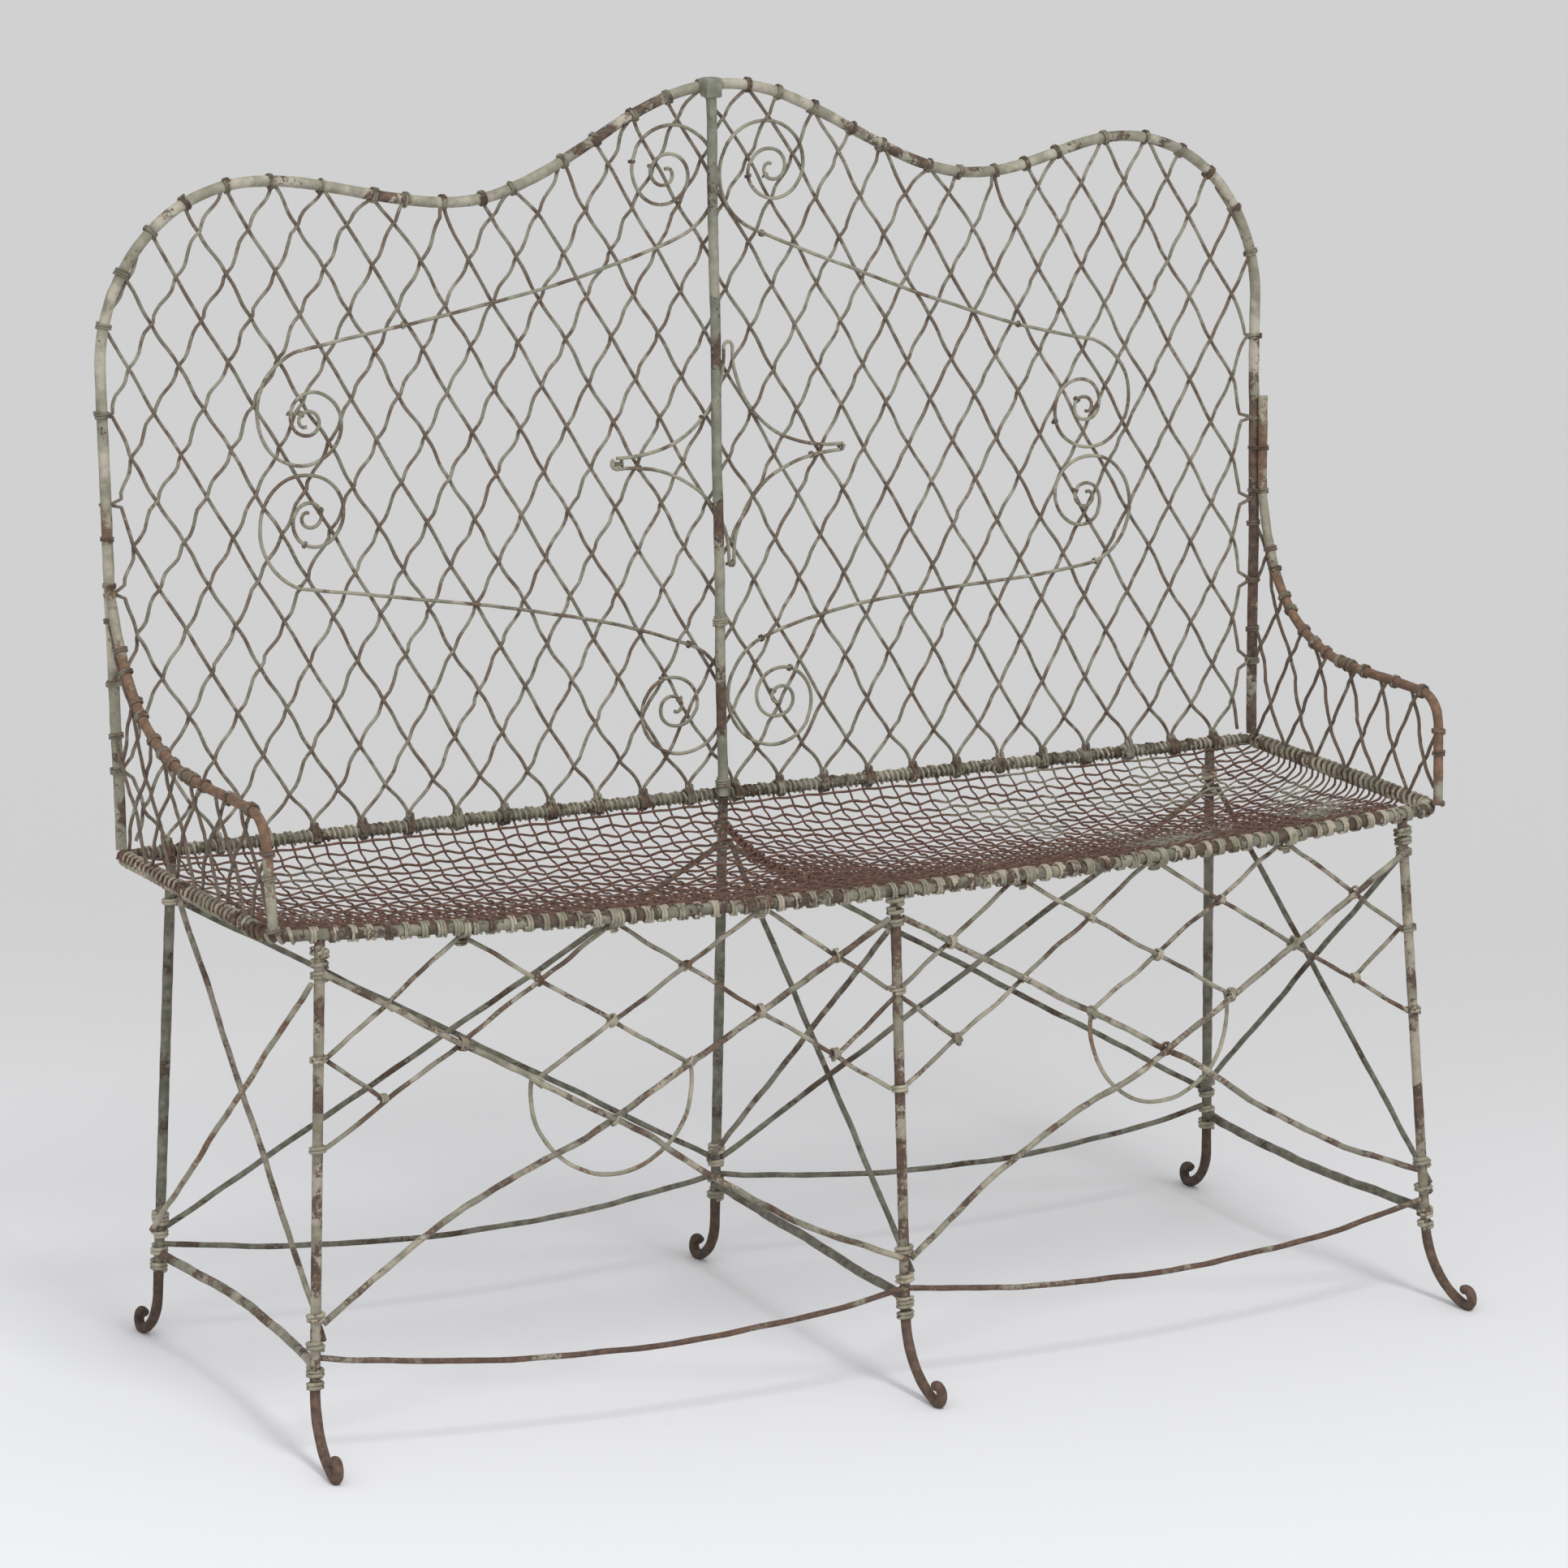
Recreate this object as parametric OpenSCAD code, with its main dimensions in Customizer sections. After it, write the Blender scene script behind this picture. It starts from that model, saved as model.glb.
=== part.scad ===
// A Victorian wirework garden settee: rods bent to outline the back, arms and seat,
// a woven diamond lattice tied to them with wire, and six legs braced by crossed stays.
// Units are millimetres. The origin is on the ground under the middle of the bench,
// +X runs along the seat and the back is at +Y.

/* [Seat] */
// Height of the seat rods above the ground
seat_h = 430; // [380:5:480]
// Width between the two rear corners of the seat
seat_w = 1120; // [1000:10:1240]
// Depth of the seat at its two ends
seat_d = 305; // [270:5:350]
// How far the front rod bows forward at the middle
front_bow = 40; // [20:5:60]
// How far the front rod hangs below its corners at the middle
front_drop = 7; // [0:1:12]
// Radius of the two front corners of the seat
corner_r = 26; // [20:1:40]
// How deep each half of the mesh is sat into
dish = 46; // [20:1:55]
// Distance between the seat mesh wires that run from back to front
net_pitch = 44; // [44:1:60]
// Number of seat mesh wires that run along the seat
net_rows = 7; // [5:1:7]

/* [Back] */
// How far the sides of the back spread over their height, at each end
stile_spread = 6; // [0:1:12]
// Height of the shoulders above the seat
crest_h = 557; // [520:1:600]
// Distance of each shoulder from the middle
crest_x = 424; // [390:1:450]
// Height of the shoulder curve, from the straight stile to the crest
shoulder_h = 151; // [120:1:190]
// Height of the two dips above the seat
dip_h = 531; // [505:1:545]
// Distance of each dip from the top of the hump
dip_x = 257; // [220:1:290]
// Height of the middle hump above the seat
hump_h = 620; // [580:1:660]
// How far the hump leans off the middle, to the right
hump_shift = 22; // [0:1:30]
// How far the back leans from upright, in degrees
recline = 4.3; // [1:0.1:8]
// Number of diamonds across the back lattice
cells_across = 25; // [19:2:25]
// Height of one diamond of the back lattice
cell_h = 74; // [66:0.5:90]

/* [Arms] */
// Height above the seat at which each arm rod starts on the stile
arm_start_h = 315; // [280:5:350]
// Height above the seat at which the arm rod leaves the stile
arm_leave_h = 225; // [190:5:260]
// Height of the level part of the arm above the seat
arm_h = 98; // [80:2:130]
// Radius of the bend at the front of the arm
arm_bend_r = 30; // [20:1:40]
// Width of one diamond of the arm lattice
arm_cell_w = 50; // [40:1:70]
// Height of one diamond of the arm lattice
arm_cell_h = 84; // [60:1:110]

/* [Legs] */
// Distance of the outer front legs from the ends of the seat
front_leg_inset = 40; // [30:5:80]
// Distance of the outer rear legs from the ends of the seat
rear_leg_inset = 45; // [30:5:80]
// How far the middle front leg stands to the left of the middle
mid_leg_shift = 11; // [0:1:20]
// Forward rake of the front legs, in mm for each mm of height
front_rake = 0.1; // [0:0.01:0.15]
// Outward splay of the outer front legs, in mm for each mm of height
front_splay = 0.052; // [0:0.002:0.08]
// Outward splay of the outer rear legs, in mm for each mm of height
rear_splay = 0.032; // [0:0.002:0.06]
// Radius of the kick above each front foot
front_kick_r = 68; // [50:1:80]
// Radius of the kick above each rear foot
rear_kick_r = 40; // [30:1:55]
// Radius of the small scroll at the end of each foot
curl_r = 7.5; // [6.5:0.5:10]
// How much of each foot is worn flat
worn_flat = 1; // [0.6:0.1:1.4]

/* [Braces] */
// Depth below the seat of the upper ends of the stays
stay_top_drop = 40; // [30:1:60]
// Height of the lower ends of the stays above the ground
stay_low_h = 100; // [90:1:130]
// Height of the three heavier stretchers above the ground
cross_h = 78; // [70:1:88]
// How far the two outer heavier stretchers bow towards the middle
cross_bow = 14; // [4:1:25]
// How far the long stretchers sag forward and down
long_sag = 26; // [10:1:40]
// Distance between the three wire ties of the apron in each half
tie_pitch = 135; // [120:1:140]
// Radius of the open ring that hangs in each half of the apron
ring_r = 72; // [55:1:75]

/* [Scrolls] */
// Distance of the inner spirals from the line they are set out from
inner_x = 53; // [45:1:60]
// Distance of the outer spirals from the middle of the back
outer_x = 381; // [350:1:400]
// Height of the upper inner spirals above the seat
upper_inner_h = 547; // [525:1:550]
// Height of the upper outer spirals above the seat
upper_outer_h = 334; // [320:1:345]
// Height of the lower outer spirals above the seat
lower_outer_h = 256; // [240:1:262]
// Height of the lower inner spirals above the seat
lower_inner_h = 80; // [72:1:85]
// How much higher the scrolls are set at the left end than at the middle
scroll_skew = 18; // [0:1:20]
// Half the width of the middle star
star_x = 111; // [90:1:120]
// Half the height of the middle star
star_h = 95; // [80:1:100]
// Height of the middle of the star above the seat
star_mid_h = 298; // [280:1:310]

/* [Rods and wires] */
// Diameter of the rods of the back, arms, seat and post
rod_d = 9.5; // [8:0.5:11]
// Diameter of the legs
leg_d = 9; // [8:0.5:11]
// Diameter of the three heavier stretchers
cross_d = 8; // [6:0.5:9]
// Diameter of the long thin diagonals of the apron
diagonal_d = 5.5; // [4:0.5:6.5]
// Diameter of the stays and the long stretchers
stay_d = 5; // [4:0.5:6]
// Diameter of the short apron wires and rings
apron_d = 4; // [3:0.5:5]
// Thickness of the lattice wires
lattice_d = 3.2; // [2.5:0.1:4]
// Thickness of the scroll and star wires
scroll_d = 3.2; // [2.5:0.1:4]
// Thickness of the seat mesh wires
net_d = 2; // [1.5:0.1:2.5]
// Thickness of the wire that ties the pieces together
tie_d = 2.6; // [2:0.1:3.5]
// Gap left between pieces that lie against each other
clearance = 0.3; // [0.2:0.05:0.4]

/* [Hidden] */

// Colours of the weathered finishes
paint = [0.62, 0.62, 0.52];
green = [0.42, 0.46, 0.38];
rust = [0.36, 0.27, 0.22];

// Sides of a bent rod, of a bent wire and of a woven wire
rod_sides = 8;
wire_sides = 6;
woven_sides = 4;

rod_r = rod_d / 2;
front_leg_x = seat_w / 2 - front_leg_inset;
rear_leg_x = seat_w / 2 - rear_leg_inset;
up = [0, 0, 1];
forward = [0, -1, 0];

function unit(v) = v / norm(v);
function lerp(a, b, t) = a + (b - a) * t;
function bezier(p0, p1, p2, p3, t) =
    pow(1 - t, 3) * p0 + 3 * t * pow(1 - t, 2) * p1 + 3 * t * t * (1 - t) * p2 + pow(t, 3) * p3;
function tangent(p, i) = unit(p[min(i + 1, len(p) - 1)] - p[max(i - 1, 0)]);

// A leg runs from its top along a direction, and its foot kicks out and curls up
kick_angle = 74;
curl_angle = 225;
function foot_side(dir, kick) = unit(kick - (kick * dir) * dir);
function turned(centre, ex, ey, r, a) = centre + r * (cos(a) * ex + sin(a) * ey);
function curl_offset(side, dir, r) =
    (r - curl_r) * ((1 - cos(kick_angle)) * side + sin(kick_angle) * dir) + curl_r * side;
function leg_length(top, dir, kick, r) =
    let (side = foot_side(dir, kick), lowest = curl_r * norm([side.z, dir.z]) + leg_d / 2 - worn_flat)
    (top.z + curl_offset(side, dir, r).z - lowest) / -dir.z;
function leg_at(top, dir, h) = top + dir * (top.z - h) / -dir.z;

// How far the bench reaches behind and before the rear seat rod, and its centring on Y
under_rod = rod_r + clearance;
rake_dir = unit([0, -front_rake, -1]);
rake_side = foot_side(rake_dir, forward);
mid_leg_h = seat_h - front_drop - under_rod;
foot_reach = leg_length([0, 0, mid_leg_h], rake_dir, forward, front_kick_r) * -rake_dir.y
    - curl_offset(rake_side, rake_dir, front_kick_r).y + curl_r + leg_d / 2;
back_reach = hump_h * sin(recline) + rod_r + lattice_d;
back_y = (seat_d + front_bow + foot_reach - back_reach) / 2;
front_y = back_y - seat_d;

// A round wire bent along a list of points, whose bends all lie near the plane of a normal
module bent_wire(path, d, sides, normal) {
    last = len(path) - 1;
    points = [for (i = [0:last])
        let (t = tangent(path, i), b = unit(cross(normal, t)), u = cross(t, b))
        for (k = [0:sides - 1])
            let (a = 360 * (k + 0.5) / sides) path[i] + d / 2 * (cos(a) * b + sin(a) * u)];
    walls = [for (i = [0:last - 1], k = [0:sides - 1])
        let (a = i * sides + k, b = i * sides + (k + 1) % sides)
        each [[a, a + sides, b], [b, a + sides, b + sides]]];
    start = [for (k = [1:sides - 2]) [0, k, k + 1]];
    rim = last * sides;
    end = [for (k = [1:sides - 2]) [rim, rim + k + 1, rim + k]];
    polyhedron(points, concat(walls, start, end));
}

// A straight round bar from one point to another
module bar(a, b, d) {
    v = b - a;
    translate(a)
        rotate([0, acos(v.z / norm(v)), atan2(v.y, v.x)])
            cylinder(h = norm(v), d = d, $fn = 20);
}

// A piece of round rod bent to an arc in the plane of ex and ey, from one angle to another
module arc_rod(centre, ex, ey, r, from, turn, d) {
    ez = cross(ex, ey);
    multmatrix([[ex.x, ey.x, ez.x, centre.x], [ex.y, ey.y, ez.y, centre.y],
                [ex.z, ey.z, ez.z, centre.z], [0, 0, 0, 1]])
        rotate([0, 0, from])
            rotate_extrude(angle = turn, $fn = ceil(16 * 360 / turn))
                translate([r, 0]) circle(d = d, $fn = 20);
}

// A round bar from one point to another that bows to one side by its sagitta
module bowed_bar(a, b, sag, side, d) {
    ex = unit(b - a);
    ey = unit(side - (side * ex) * ex);
    r = (pow(norm(b - a), 2) / 4 + sag * sag) / (2 * sag);
    half = asin(norm(b - a) / 2 / r);
    arc_rod((a + b) / 2 + (sag - r) * ey, ex, ey, r, 90 - half, 2 * half, d);
}

// One turn of tie wire drawn tight round a rod at a point, square to the rod's direction
module tie(p, along, core_d, wire_d) {
    t = unit(along);
    translate(p)
        rotate([0, acos(t.z), atan2(t.y, t.x)])
            rotate_extrude($fn = 20)
                translate([(core_d + wire_d + clearance) / 2, 0]) circle(d = wire_d, $fn = 16);
}

// Several turns side by side
module binding(p, along, core_d, wire_d, turns) {
    for (i = [0:turns - 1])
        tie(p + (i - (turns - 1) / 2) * (wire_d + 0.2) * unit(along), along, core_d, wire_d);
}

// Back: the outline in its own plane, x across and v up from the rear seat rod
shoulder_w = seat_w / 2 + stile_spread - crest_x;
spring_h = crest_h - shoulder_h;
function half_wave(a, b, t) = lerp(a, b, (1 - cos(180 * t)) / 2);
function rim_top(x) =
    let (left_dip = hump_shift - dip_x, right_dip = hump_shift + dip_x)
    abs(x) >= crest_x
        ? spring_h + shoulder_h * sqrt(max(0, 1 - pow((abs(x) - crest_x) / shoulder_w, 2)))
        : x < left_dip ? half_wave(crest_h, dip_h, (x + crest_x) / (left_dip + crest_x))
        : x < hump_shift ? half_wave(dip_h, hump_h, (x - left_dip) / dip_x)
        : x < right_dip ? half_wave(hump_h, dip_h, (x - hump_shift) / dip_x)
        : half_wave(dip_h, crest_h, (x - right_dip) / (crest_x - right_dip));
function stile_x(v) = seat_w / 2 + stile_spread * min(1, v / spring_h);
function on_back(x, v, out) =
    [x, back_y + v * sin(recline) - out * cos(recline), seat_h + v * cos(recline) + out * sin(recline)];
back_normal = [0, -cos(recline), sin(recline)];
rim_foot = rod_r * (1 + sin(recline)) + clearance;
rim_half_turn = [for (a = [0:11.25:78.75])
    [crest_x + shoulder_w * cos(a), spring_h + shoulder_h * sin(a)]];
rim_outline = concat(
    [for (v = [rim_foot, spring_h / 2]) [-stile_x(v), v]],
    [for (p = rim_half_turn) [-p.x, p.y]],
    [for (i = [0:32]) let (x = lerp(-crest_x, crest_x, i / 32)) [x, rim_top(x)]],
    [for (i = [len(rim_half_turn) - 1:-1:0]) rim_half_turn[i]],
    [for (v = [spring_h / 2, rim_foot]) [stile_x(v), v]]);
rim_path = [for (p = rim_outline) on_back(p.x, p.y, 0)];

module back_rim_rod() { color(paint) bent_wire(rim_path, rod_d, rod_sides, back_normal); }

// The post stands far enough before the lattice for the scroll wires to pass behind it
lattice_layer = lattice_d / 2;
lattice_face = lattice_layer + lattice_d * 0.45;
scroll_out = lattice_face + scroll_d / 2 + clearance;
post_out = scroll_out + scroll_d / 2 + leg_d / 2 + clearance;
post_x = 5;
post_top = on_back(post_x, rim_top(post_x) - 1, post_out);
post_foot = on_back(post_x, 0, post_out);
down = [0, 0, -1];

// A leg with its foot in one bent rod, worn flat underneath
kick_steps = 4;
curl_steps = 9;

module leg(top, dir, kick, r) {
    side = foot_side(dir, kick);
    base = top + dir * leg_length(top, dir, kick, r);
    end = turned(base + r * side, -side, dir, r, kick_angle);
    curl_centre = end + curl_r * (cos(kick_angle) * side - sin(kick_angle) * dir);
    path = concat([top],
        [for (i = [0:kick_steps])
            turned(base + r * side, -side, dir, r, i * kick_angle / kick_steps)],
        [for (i = [1:curl_steps])
            turned(curl_centre, -side, dir, curl_r, kick_angle + i * curl_angle / curl_steps)]);
    difference() {
        bent_wire(path, leg_d, rod_sides, cross(side, dir));
        translate([curl_centre.x - 2 * r, curl_centre.y - 2 * r, -leg_d]) cube([4 * r, 4 * r, leg_d]);
    }
}

module centre_post() { color(green) bar(post_top, post_foot, leg_d); }
module rear_centre_leg() {
    top = post_foot + (leg_d / 2 * sin(recline) + clearance) * down;
    color(green) leg(top, down, -forward, rear_kick_r);
}

// A square collar round the top of the post
clip_w = 15;
clip_h = 17;
clip_wall = 3;
clip_back_wall = 1.4;
module post_top_clip() {
    color(paint) difference() {
        translate(post_top + [-clip_w / 2, -leg_d / 2 - clip_wall, -clip_h / 2])
            cube([clip_w, leg_d + clip_wall + clip_back_wall, clip_h]);
        translate(post_top) rotate([-recline, 0, 0])
            cylinder(h = 3 * clip_h, d = leg_d + 2 * clearance, center = true, $fn = 24);
    }
}

// Woven lattice of the back. Wire k of each way starts k and a half cells from the middle, at
// the rear rod; row j is where it crosses its jth neighbour, over and under by turns.
cell_w = (seat_w + stile_spread) / cells_across;
lattice_run = cell_w / cell_h;
rim_clear = rod_r + clearance + lattice_d;
function inside_back(x, v, c) =
    v > c && abs(x) < stile_x(v) - c && v < spring_h ? true
    : v < spring_h ? false
    : abs(x) > crest_x
        ? pow((abs(x) - crest_x) / (shoulder_w - c), 2) + pow((v - spring_h) / (shoulder_h - c), 2) < 1
        : v < rim_top(x) - 1.07 * c;
scan = 4;
function refine(x0, run, good, bad, c, n) = n == 0 ? good
    : let (mid = (good + bad) / 2)
      inside_back(x0 + run * mid, mid, c)
        ? refine(x0, run, mid, bad, c, n - 1) : refine(x0, run, good, mid, c, n - 1);
function wire_span(x0, run, c) =
    let (hits = [for (v = [0:scan:hump_h + scan]) if (inside_back(x0 + run * v, v, c)) v])
    len(hits) < 4 ? [] : [refine(x0, run, hits[0], hits[0] - scan, c, 7),
                          refine(x0, run, hits[len(hits) - 1], hits[len(hits) - 1] + scan, c, 7)];
half_count = ceil((seat_w / 2 + lattice_run * hump_h) / cell_w);

module back_wires(way) {
    run = way * lattice_run;
    for (k = [-half_count:half_count]) {
        x0 = (k + 0.5) * cell_w;
        span = wire_span(x0, run, rim_clear);
        if (len(span) == 2) {
            rows = [for (j = [1:2 * ceil(hump_h / cell_h) + 2])
                let (v = j * cell_h / 2) if (v > span[0] + 4 && v < span[1] - 4) j];
            stops = concat([[span[0], way * lattice_layer]],
                [for (j = rows) [j * cell_h / 2, way * (j % 2 == 0 ? 1 : -1) * lattice_layer]],
                [[span[1], way * lattice_layer]]);
            if (len(rows) > 0)
                bent_wire([for (s = stops) on_back(x0 + run * s[0], s[0], s[1])],
                    lattice_d * 1.25, woven_sides, back_normal);
        }
    }
}

module back_lattice_rising_wires() { color(green) back_wires(1); }
module back_lattice_falling_wires() { color(rust) back_wires(-1); }

// Scrolls: an inner spiral by the post, a long easy curve and an outer spiral, drawn
// outwards from the post in u and away from the middle of the back in w
scroll_line = 14;
spiral_in = 9;
inner_r = 58;
outer_r = 64;
function spiral_point(r, a) = r * [cos(a), sin(a)];
function scroll_points(span_u, rise_w) =
    let (inner = [for (i = [0:20]) let (t = i / 20)
             spiral_point(spiral_in + (inner_r - spiral_in) * pow(t, 1.15), lerp(100, 618, t))],
         outer = [for (i = [0:18]) let (t = i / 18)
             [span_u, rise_w] + spiral_point(lerp(outer_r, spiral_in, pow(t, 0.5)), lerp(80, -530, t))],
         a = inner[20], b = outer[0], reach = 0.3 * norm(b - a),
         joint = [for (t = [0.15:0.14:0.86])
             bezier(a, a + reach * [0.93, -0.37], b - reach * [0.985, -0.17], b, t)])
    concat(inner, joint, outer);

// side is -1 at the left and 1 at the right, and level is 1 above and -1 below
module scroll(side, level) {
    inner_v = level > 0 ? upper_inner_h : lower_inner_h;
    outer_v = (level > 0 ? upper_outer_h : lower_outer_h) - side * scroll_skew;
    points = scroll_points(outer_x - side * scroll_line - inner_x, level * (outer_v - inner_v));
    path = [for (p = points)
        on_back(scroll_line + side * (inner_x + p.x), inner_v + level * p.y, scroll_out)];
    bent_wire(path, scroll_d, wire_sides, back_normal);
}

module upper_left_scroll() { color(paint) scroll(-1, 1); }
module upper_right_scroll() { color(paint) scroll(1, 1); }
module lower_left_scroll() { color(paint) scroll(-1, -1); }
module lower_right_scroll() { color(paint) scroll(1, -1); }

// Star: four hollow sides drawn as one wire that starts and ends at the left tip
star_line = 21;
tip = 3.2;
function star_side(a, b) =
    [for (t = [0:0.125:1]) bezier(a, lerp([0, 0], a, 0.3), lerp([0, 0], b, 0.3), b, t)];
star_points = concat(
    star_side([-star_x, tip], [-tip, star_h]), star_side([tip, star_h], [star_x, tip]),
    star_side([star_x, -tip], [tip, -star_h]), star_side([-tip, -star_h], [-star_x, -tip]));

module centre_star() {
    path = [for (p = star_points) on_back(star_line + p.x, star_mid_h + p.y, scroll_out)];
    color(paint) bent_wire(path, scroll_d, wire_sides, back_normal);
}

// Seat rods. The front rod is an arc between the two corners, bowed forward and down.
corner_x = seat_w / 2;
rail_end = rod_r + clearance;
front_left = [-corner_x + corner_r, front_y, seat_h];
front_right = [corner_x - corner_r, front_y, seat_h];
bow_vector = [0, -front_bow, -front_drop];
bow_depth = norm(bow_vector);
bow_dir = bow_vector / bow_depth;
bow_r = (pow(front_right.x, 2) + bow_depth * bow_depth) / (2 * bow_depth);
bow_half = asin(front_right.x / bow_r);
function bow_at(x) = sqrt(bow_r * bow_r - x * x) - (bow_r - bow_depth);
function front_rod(x) =
    abs(x) <= front_right.x ? [x, front_y, seat_h] + bow_at(x) * bow_dir
    : [x, front_y + corner_r - sqrt(max(0, pow(corner_r, 2) - pow(abs(x) - front_right.x, 2))), seat_h];

module seat_back_rail() {
    end = [corner_x - rail_end, 0, 0];
    color(green) bar([0, back_y, seat_h] - end, [0, back_y, seat_h] + end, rod_d);
}
module seat_front_rail() {
    color(paint) bowed_bar(front_left, front_right, bow_depth, bow_dir, rod_d);
}
// A side rod with the quarter turn at its front, just short of the front rod
corner_turn = 87.6;
module side_rail(side) {
    bent_wire(concat([[side * corner_x, back_y, seat_h]],
        [for (a = [0:corner_turn / 6:corner_turn]) [side * (front_right.x + corner_r * cos(a)),
            front_y + corner_r - corner_r * sin(a), seat_h]]), rod_d, rod_sides, up);
}
module seat_left_rail() { color(paint) side_rail(-1); }
module seat_right_rail() { color(paint) side_rail(1); }

// Seat mesh: long wires along the seat and short wires from back to front, sunk between the
// rods in two dished halves. s runs from 0 at the rear rod to 1 at the front rod.
bearer_x = 0;
ridge_w = 90;
ridge_share = 0.22;
steep_rear = 0.68;
function seat_depth(x) = back_y - front_rod(x).y;
function seat_sink(x, s) =
    let (ends = sqrt(max(0, 1 - pow(abs(x) / corner_x, 6))),
         ridge = 1 - ridge_share * max(0, 1 - abs(x - bearer_x) / ridge_w))
    dish * ends * ridge * sin(180 * pow(s, steep_rear));
function seat_point(x, s, lift) =
    [x, back_y - s * seat_depth(x), lerp(seat_h, front_rod(x).z, s) - seat_sink(x, s) + lift];
net_clear = rod_r + net_d;
net_lift = 0.62 * net_d;
function row_s(j) = j / (net_rows + 1);
function rear_s(x) =
    (abs(x - post_x) < leg_d / 2 + 1.5 * net_d ? back_y - post_foot.y + leg_d / 2 + net_d : net_clear)
    / seat_depth(x);
// The front corners are round, so the outer ends of the front rows stop short of them
function row_x(s) = s < 0.85 ? corner_x - net_clear : front_right.x;
half_wires = floor((corner_x - net_clear) / net_pitch);
net_half_d = 1.15 * net_d;

module mesh_short_wires() {
    for (k = [-half_wires:half_wires]) {
        x = k * net_pitch;
        stops = concat([rear_s(x)], [for (j = [1:net_rows]) row_s(j)], [1 - net_clear / seat_depth(x)]);
        bent_wire([for (s = stops) seat_point(x, s, net_lift)], net_half_d, woven_sides, [1, 0, 0]);
    }
}
module mesh_long_wires() {
    for (j = [1:net_rows]) {
        end = row_x(row_s(j));
        // A bend at every second short wire, and at each of the last ones where the mesh steepens
        xs = concat([-end], [for (k = [-half_wires:half_wires])
            if (k % 2 == 0 || abs(k) > half_wires - 2) k * net_pitch], [end]);
        bent_wire([for (x = xs) seat_point(x, row_s(j), -net_lift)], net_half_d, woven_sides, up);
    }
}
module seat_mesh_long_wires() { color(rust) mesh_long_wires(); }
module seat_mesh_short_wires() { color(rust) mesh_short_wires(); }

// A rod under the mesh from the rear to the front in the middle, bent as the mesh hangs
bearer_d = 5;
bearer_steps = 10;
module seat_middle_bearer() {
    below = -net_lift - net_half_d / 2 - bearer_d / 2 - clearance;
    first = (back_y - post_foot.y + leg_d / 2 + bearer_d) / seat_depth(bearer_x);
    last = 1 - (rail_end + bearer_d) / seat_depth(bearer_x);
    color(rust) bent_wire([for (i = [0:bearer_steps])
        seat_point(bearer_x, lerp(first, last, i / bearer_steps), below)],
        bearer_d, rod_sides, [1, 0, 0]);
}

// Arms: each rod lies outside its stile, leaves it in an easy curve and drops to the corner
// The rod's top lies against the front outer corner of the stile, this far round from its side
arm_turn = 61;
arm_out = (rod_d + clearance) * cos(arm_turn);
arm_front = (rod_d + clearance) * sin(arm_turn);
function arm_x(v) = v > arm_leave_h ? stile_x(v) + arm_out
    : lerp(corner_x, stile_x(arm_leave_h) + arm_out, v / arm_leave_h);
function stile_y(v) = back_y + v * tan(recline);
arm_bend_y = front_y + 8;
arm_profile = concat(
    [for (v = [arm_start_h, (arm_start_h + arm_leave_h) / 2]) [stile_y(v) - arm_front, v]],
    [for (t = [0:0.125:1])
        bezier([stile_y(arm_leave_h) - arm_front, arm_leave_h],
               [back_y - arm_front - 3, lerp(arm_h, arm_leave_h, 0.53)],
               [back_y - 45, arm_h + 2], [back_y - 155, arm_h], t)],
    [for (a = [90:22.5:180])
        [arm_bend_y + arm_bend_r + arm_bend_r * cos(a), arm_h - arm_bend_r + arm_bend_r * sin(a)]],
    [[front_y + 1, rail_end]]);
function arm_point(side, y, v, out) = [side * (arm_x(v) + out), y, seat_h + v];

module arm_rod(side) {
    bent_wire([for (p = arm_profile) arm_point(side, p.x, p.y, 0)], rod_d, rod_sides, [1, 0, 0]);
}
module left_arm_rod() { color(rust) arm_rod(-1); }
module right_arm_rod() { color(rust) arm_rod(1); }

// Arm lattice, in the plane between the side rod and the arm
arm_run = arm_cell_w / arm_cell_h;
arm_table = [for (i = [len(arm_profile) - 3:-1:2]) arm_profile[i]];
arm_clear = rod_r + clearance + lattice_d / 2;
function in_arm(y, v) =
    v > arm_clear && y > arm_bend_y + arm_clear && y < stile_y(v) - arm_clear
    && v < lookup(y - arm_clear, arm_table) - 1.1 * arm_clear;
arm_count = ceil((seat_d + arm_run * arm_leave_h) / arm_cell_w);

module arm_wires(side, way) {
    for (k = [-arm_count:2 * arm_count]) {
        y0 = front_y + k * arm_cell_w;
        span = [for (v = [0:2:arm_leave_h + 10]) if (in_arm(y0 + way * arm_run * v, v)) v];
        if (len(span) > 8) {
            a = span[0];
            b = span[len(span) - 1];
            out = way * (lattice_d + clearance) / 2;
            bar(arm_point(side, y0 + way * arm_run * a, a, out),
                arm_point(side, y0 + way * arm_run * b, b, out), lattice_d);
        }
    }
}
module left_arm_rising_wires() { color(rust) arm_wires(-1, 1); }
module left_arm_falling_wires() { color(rust) arm_wires(-1, -1); }
module right_arm_rising_wires() { color(rust) arm_wires(1, 1); }
module right_arm_falling_wires() { color(rust) arm_wires(1, -1); }

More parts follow.
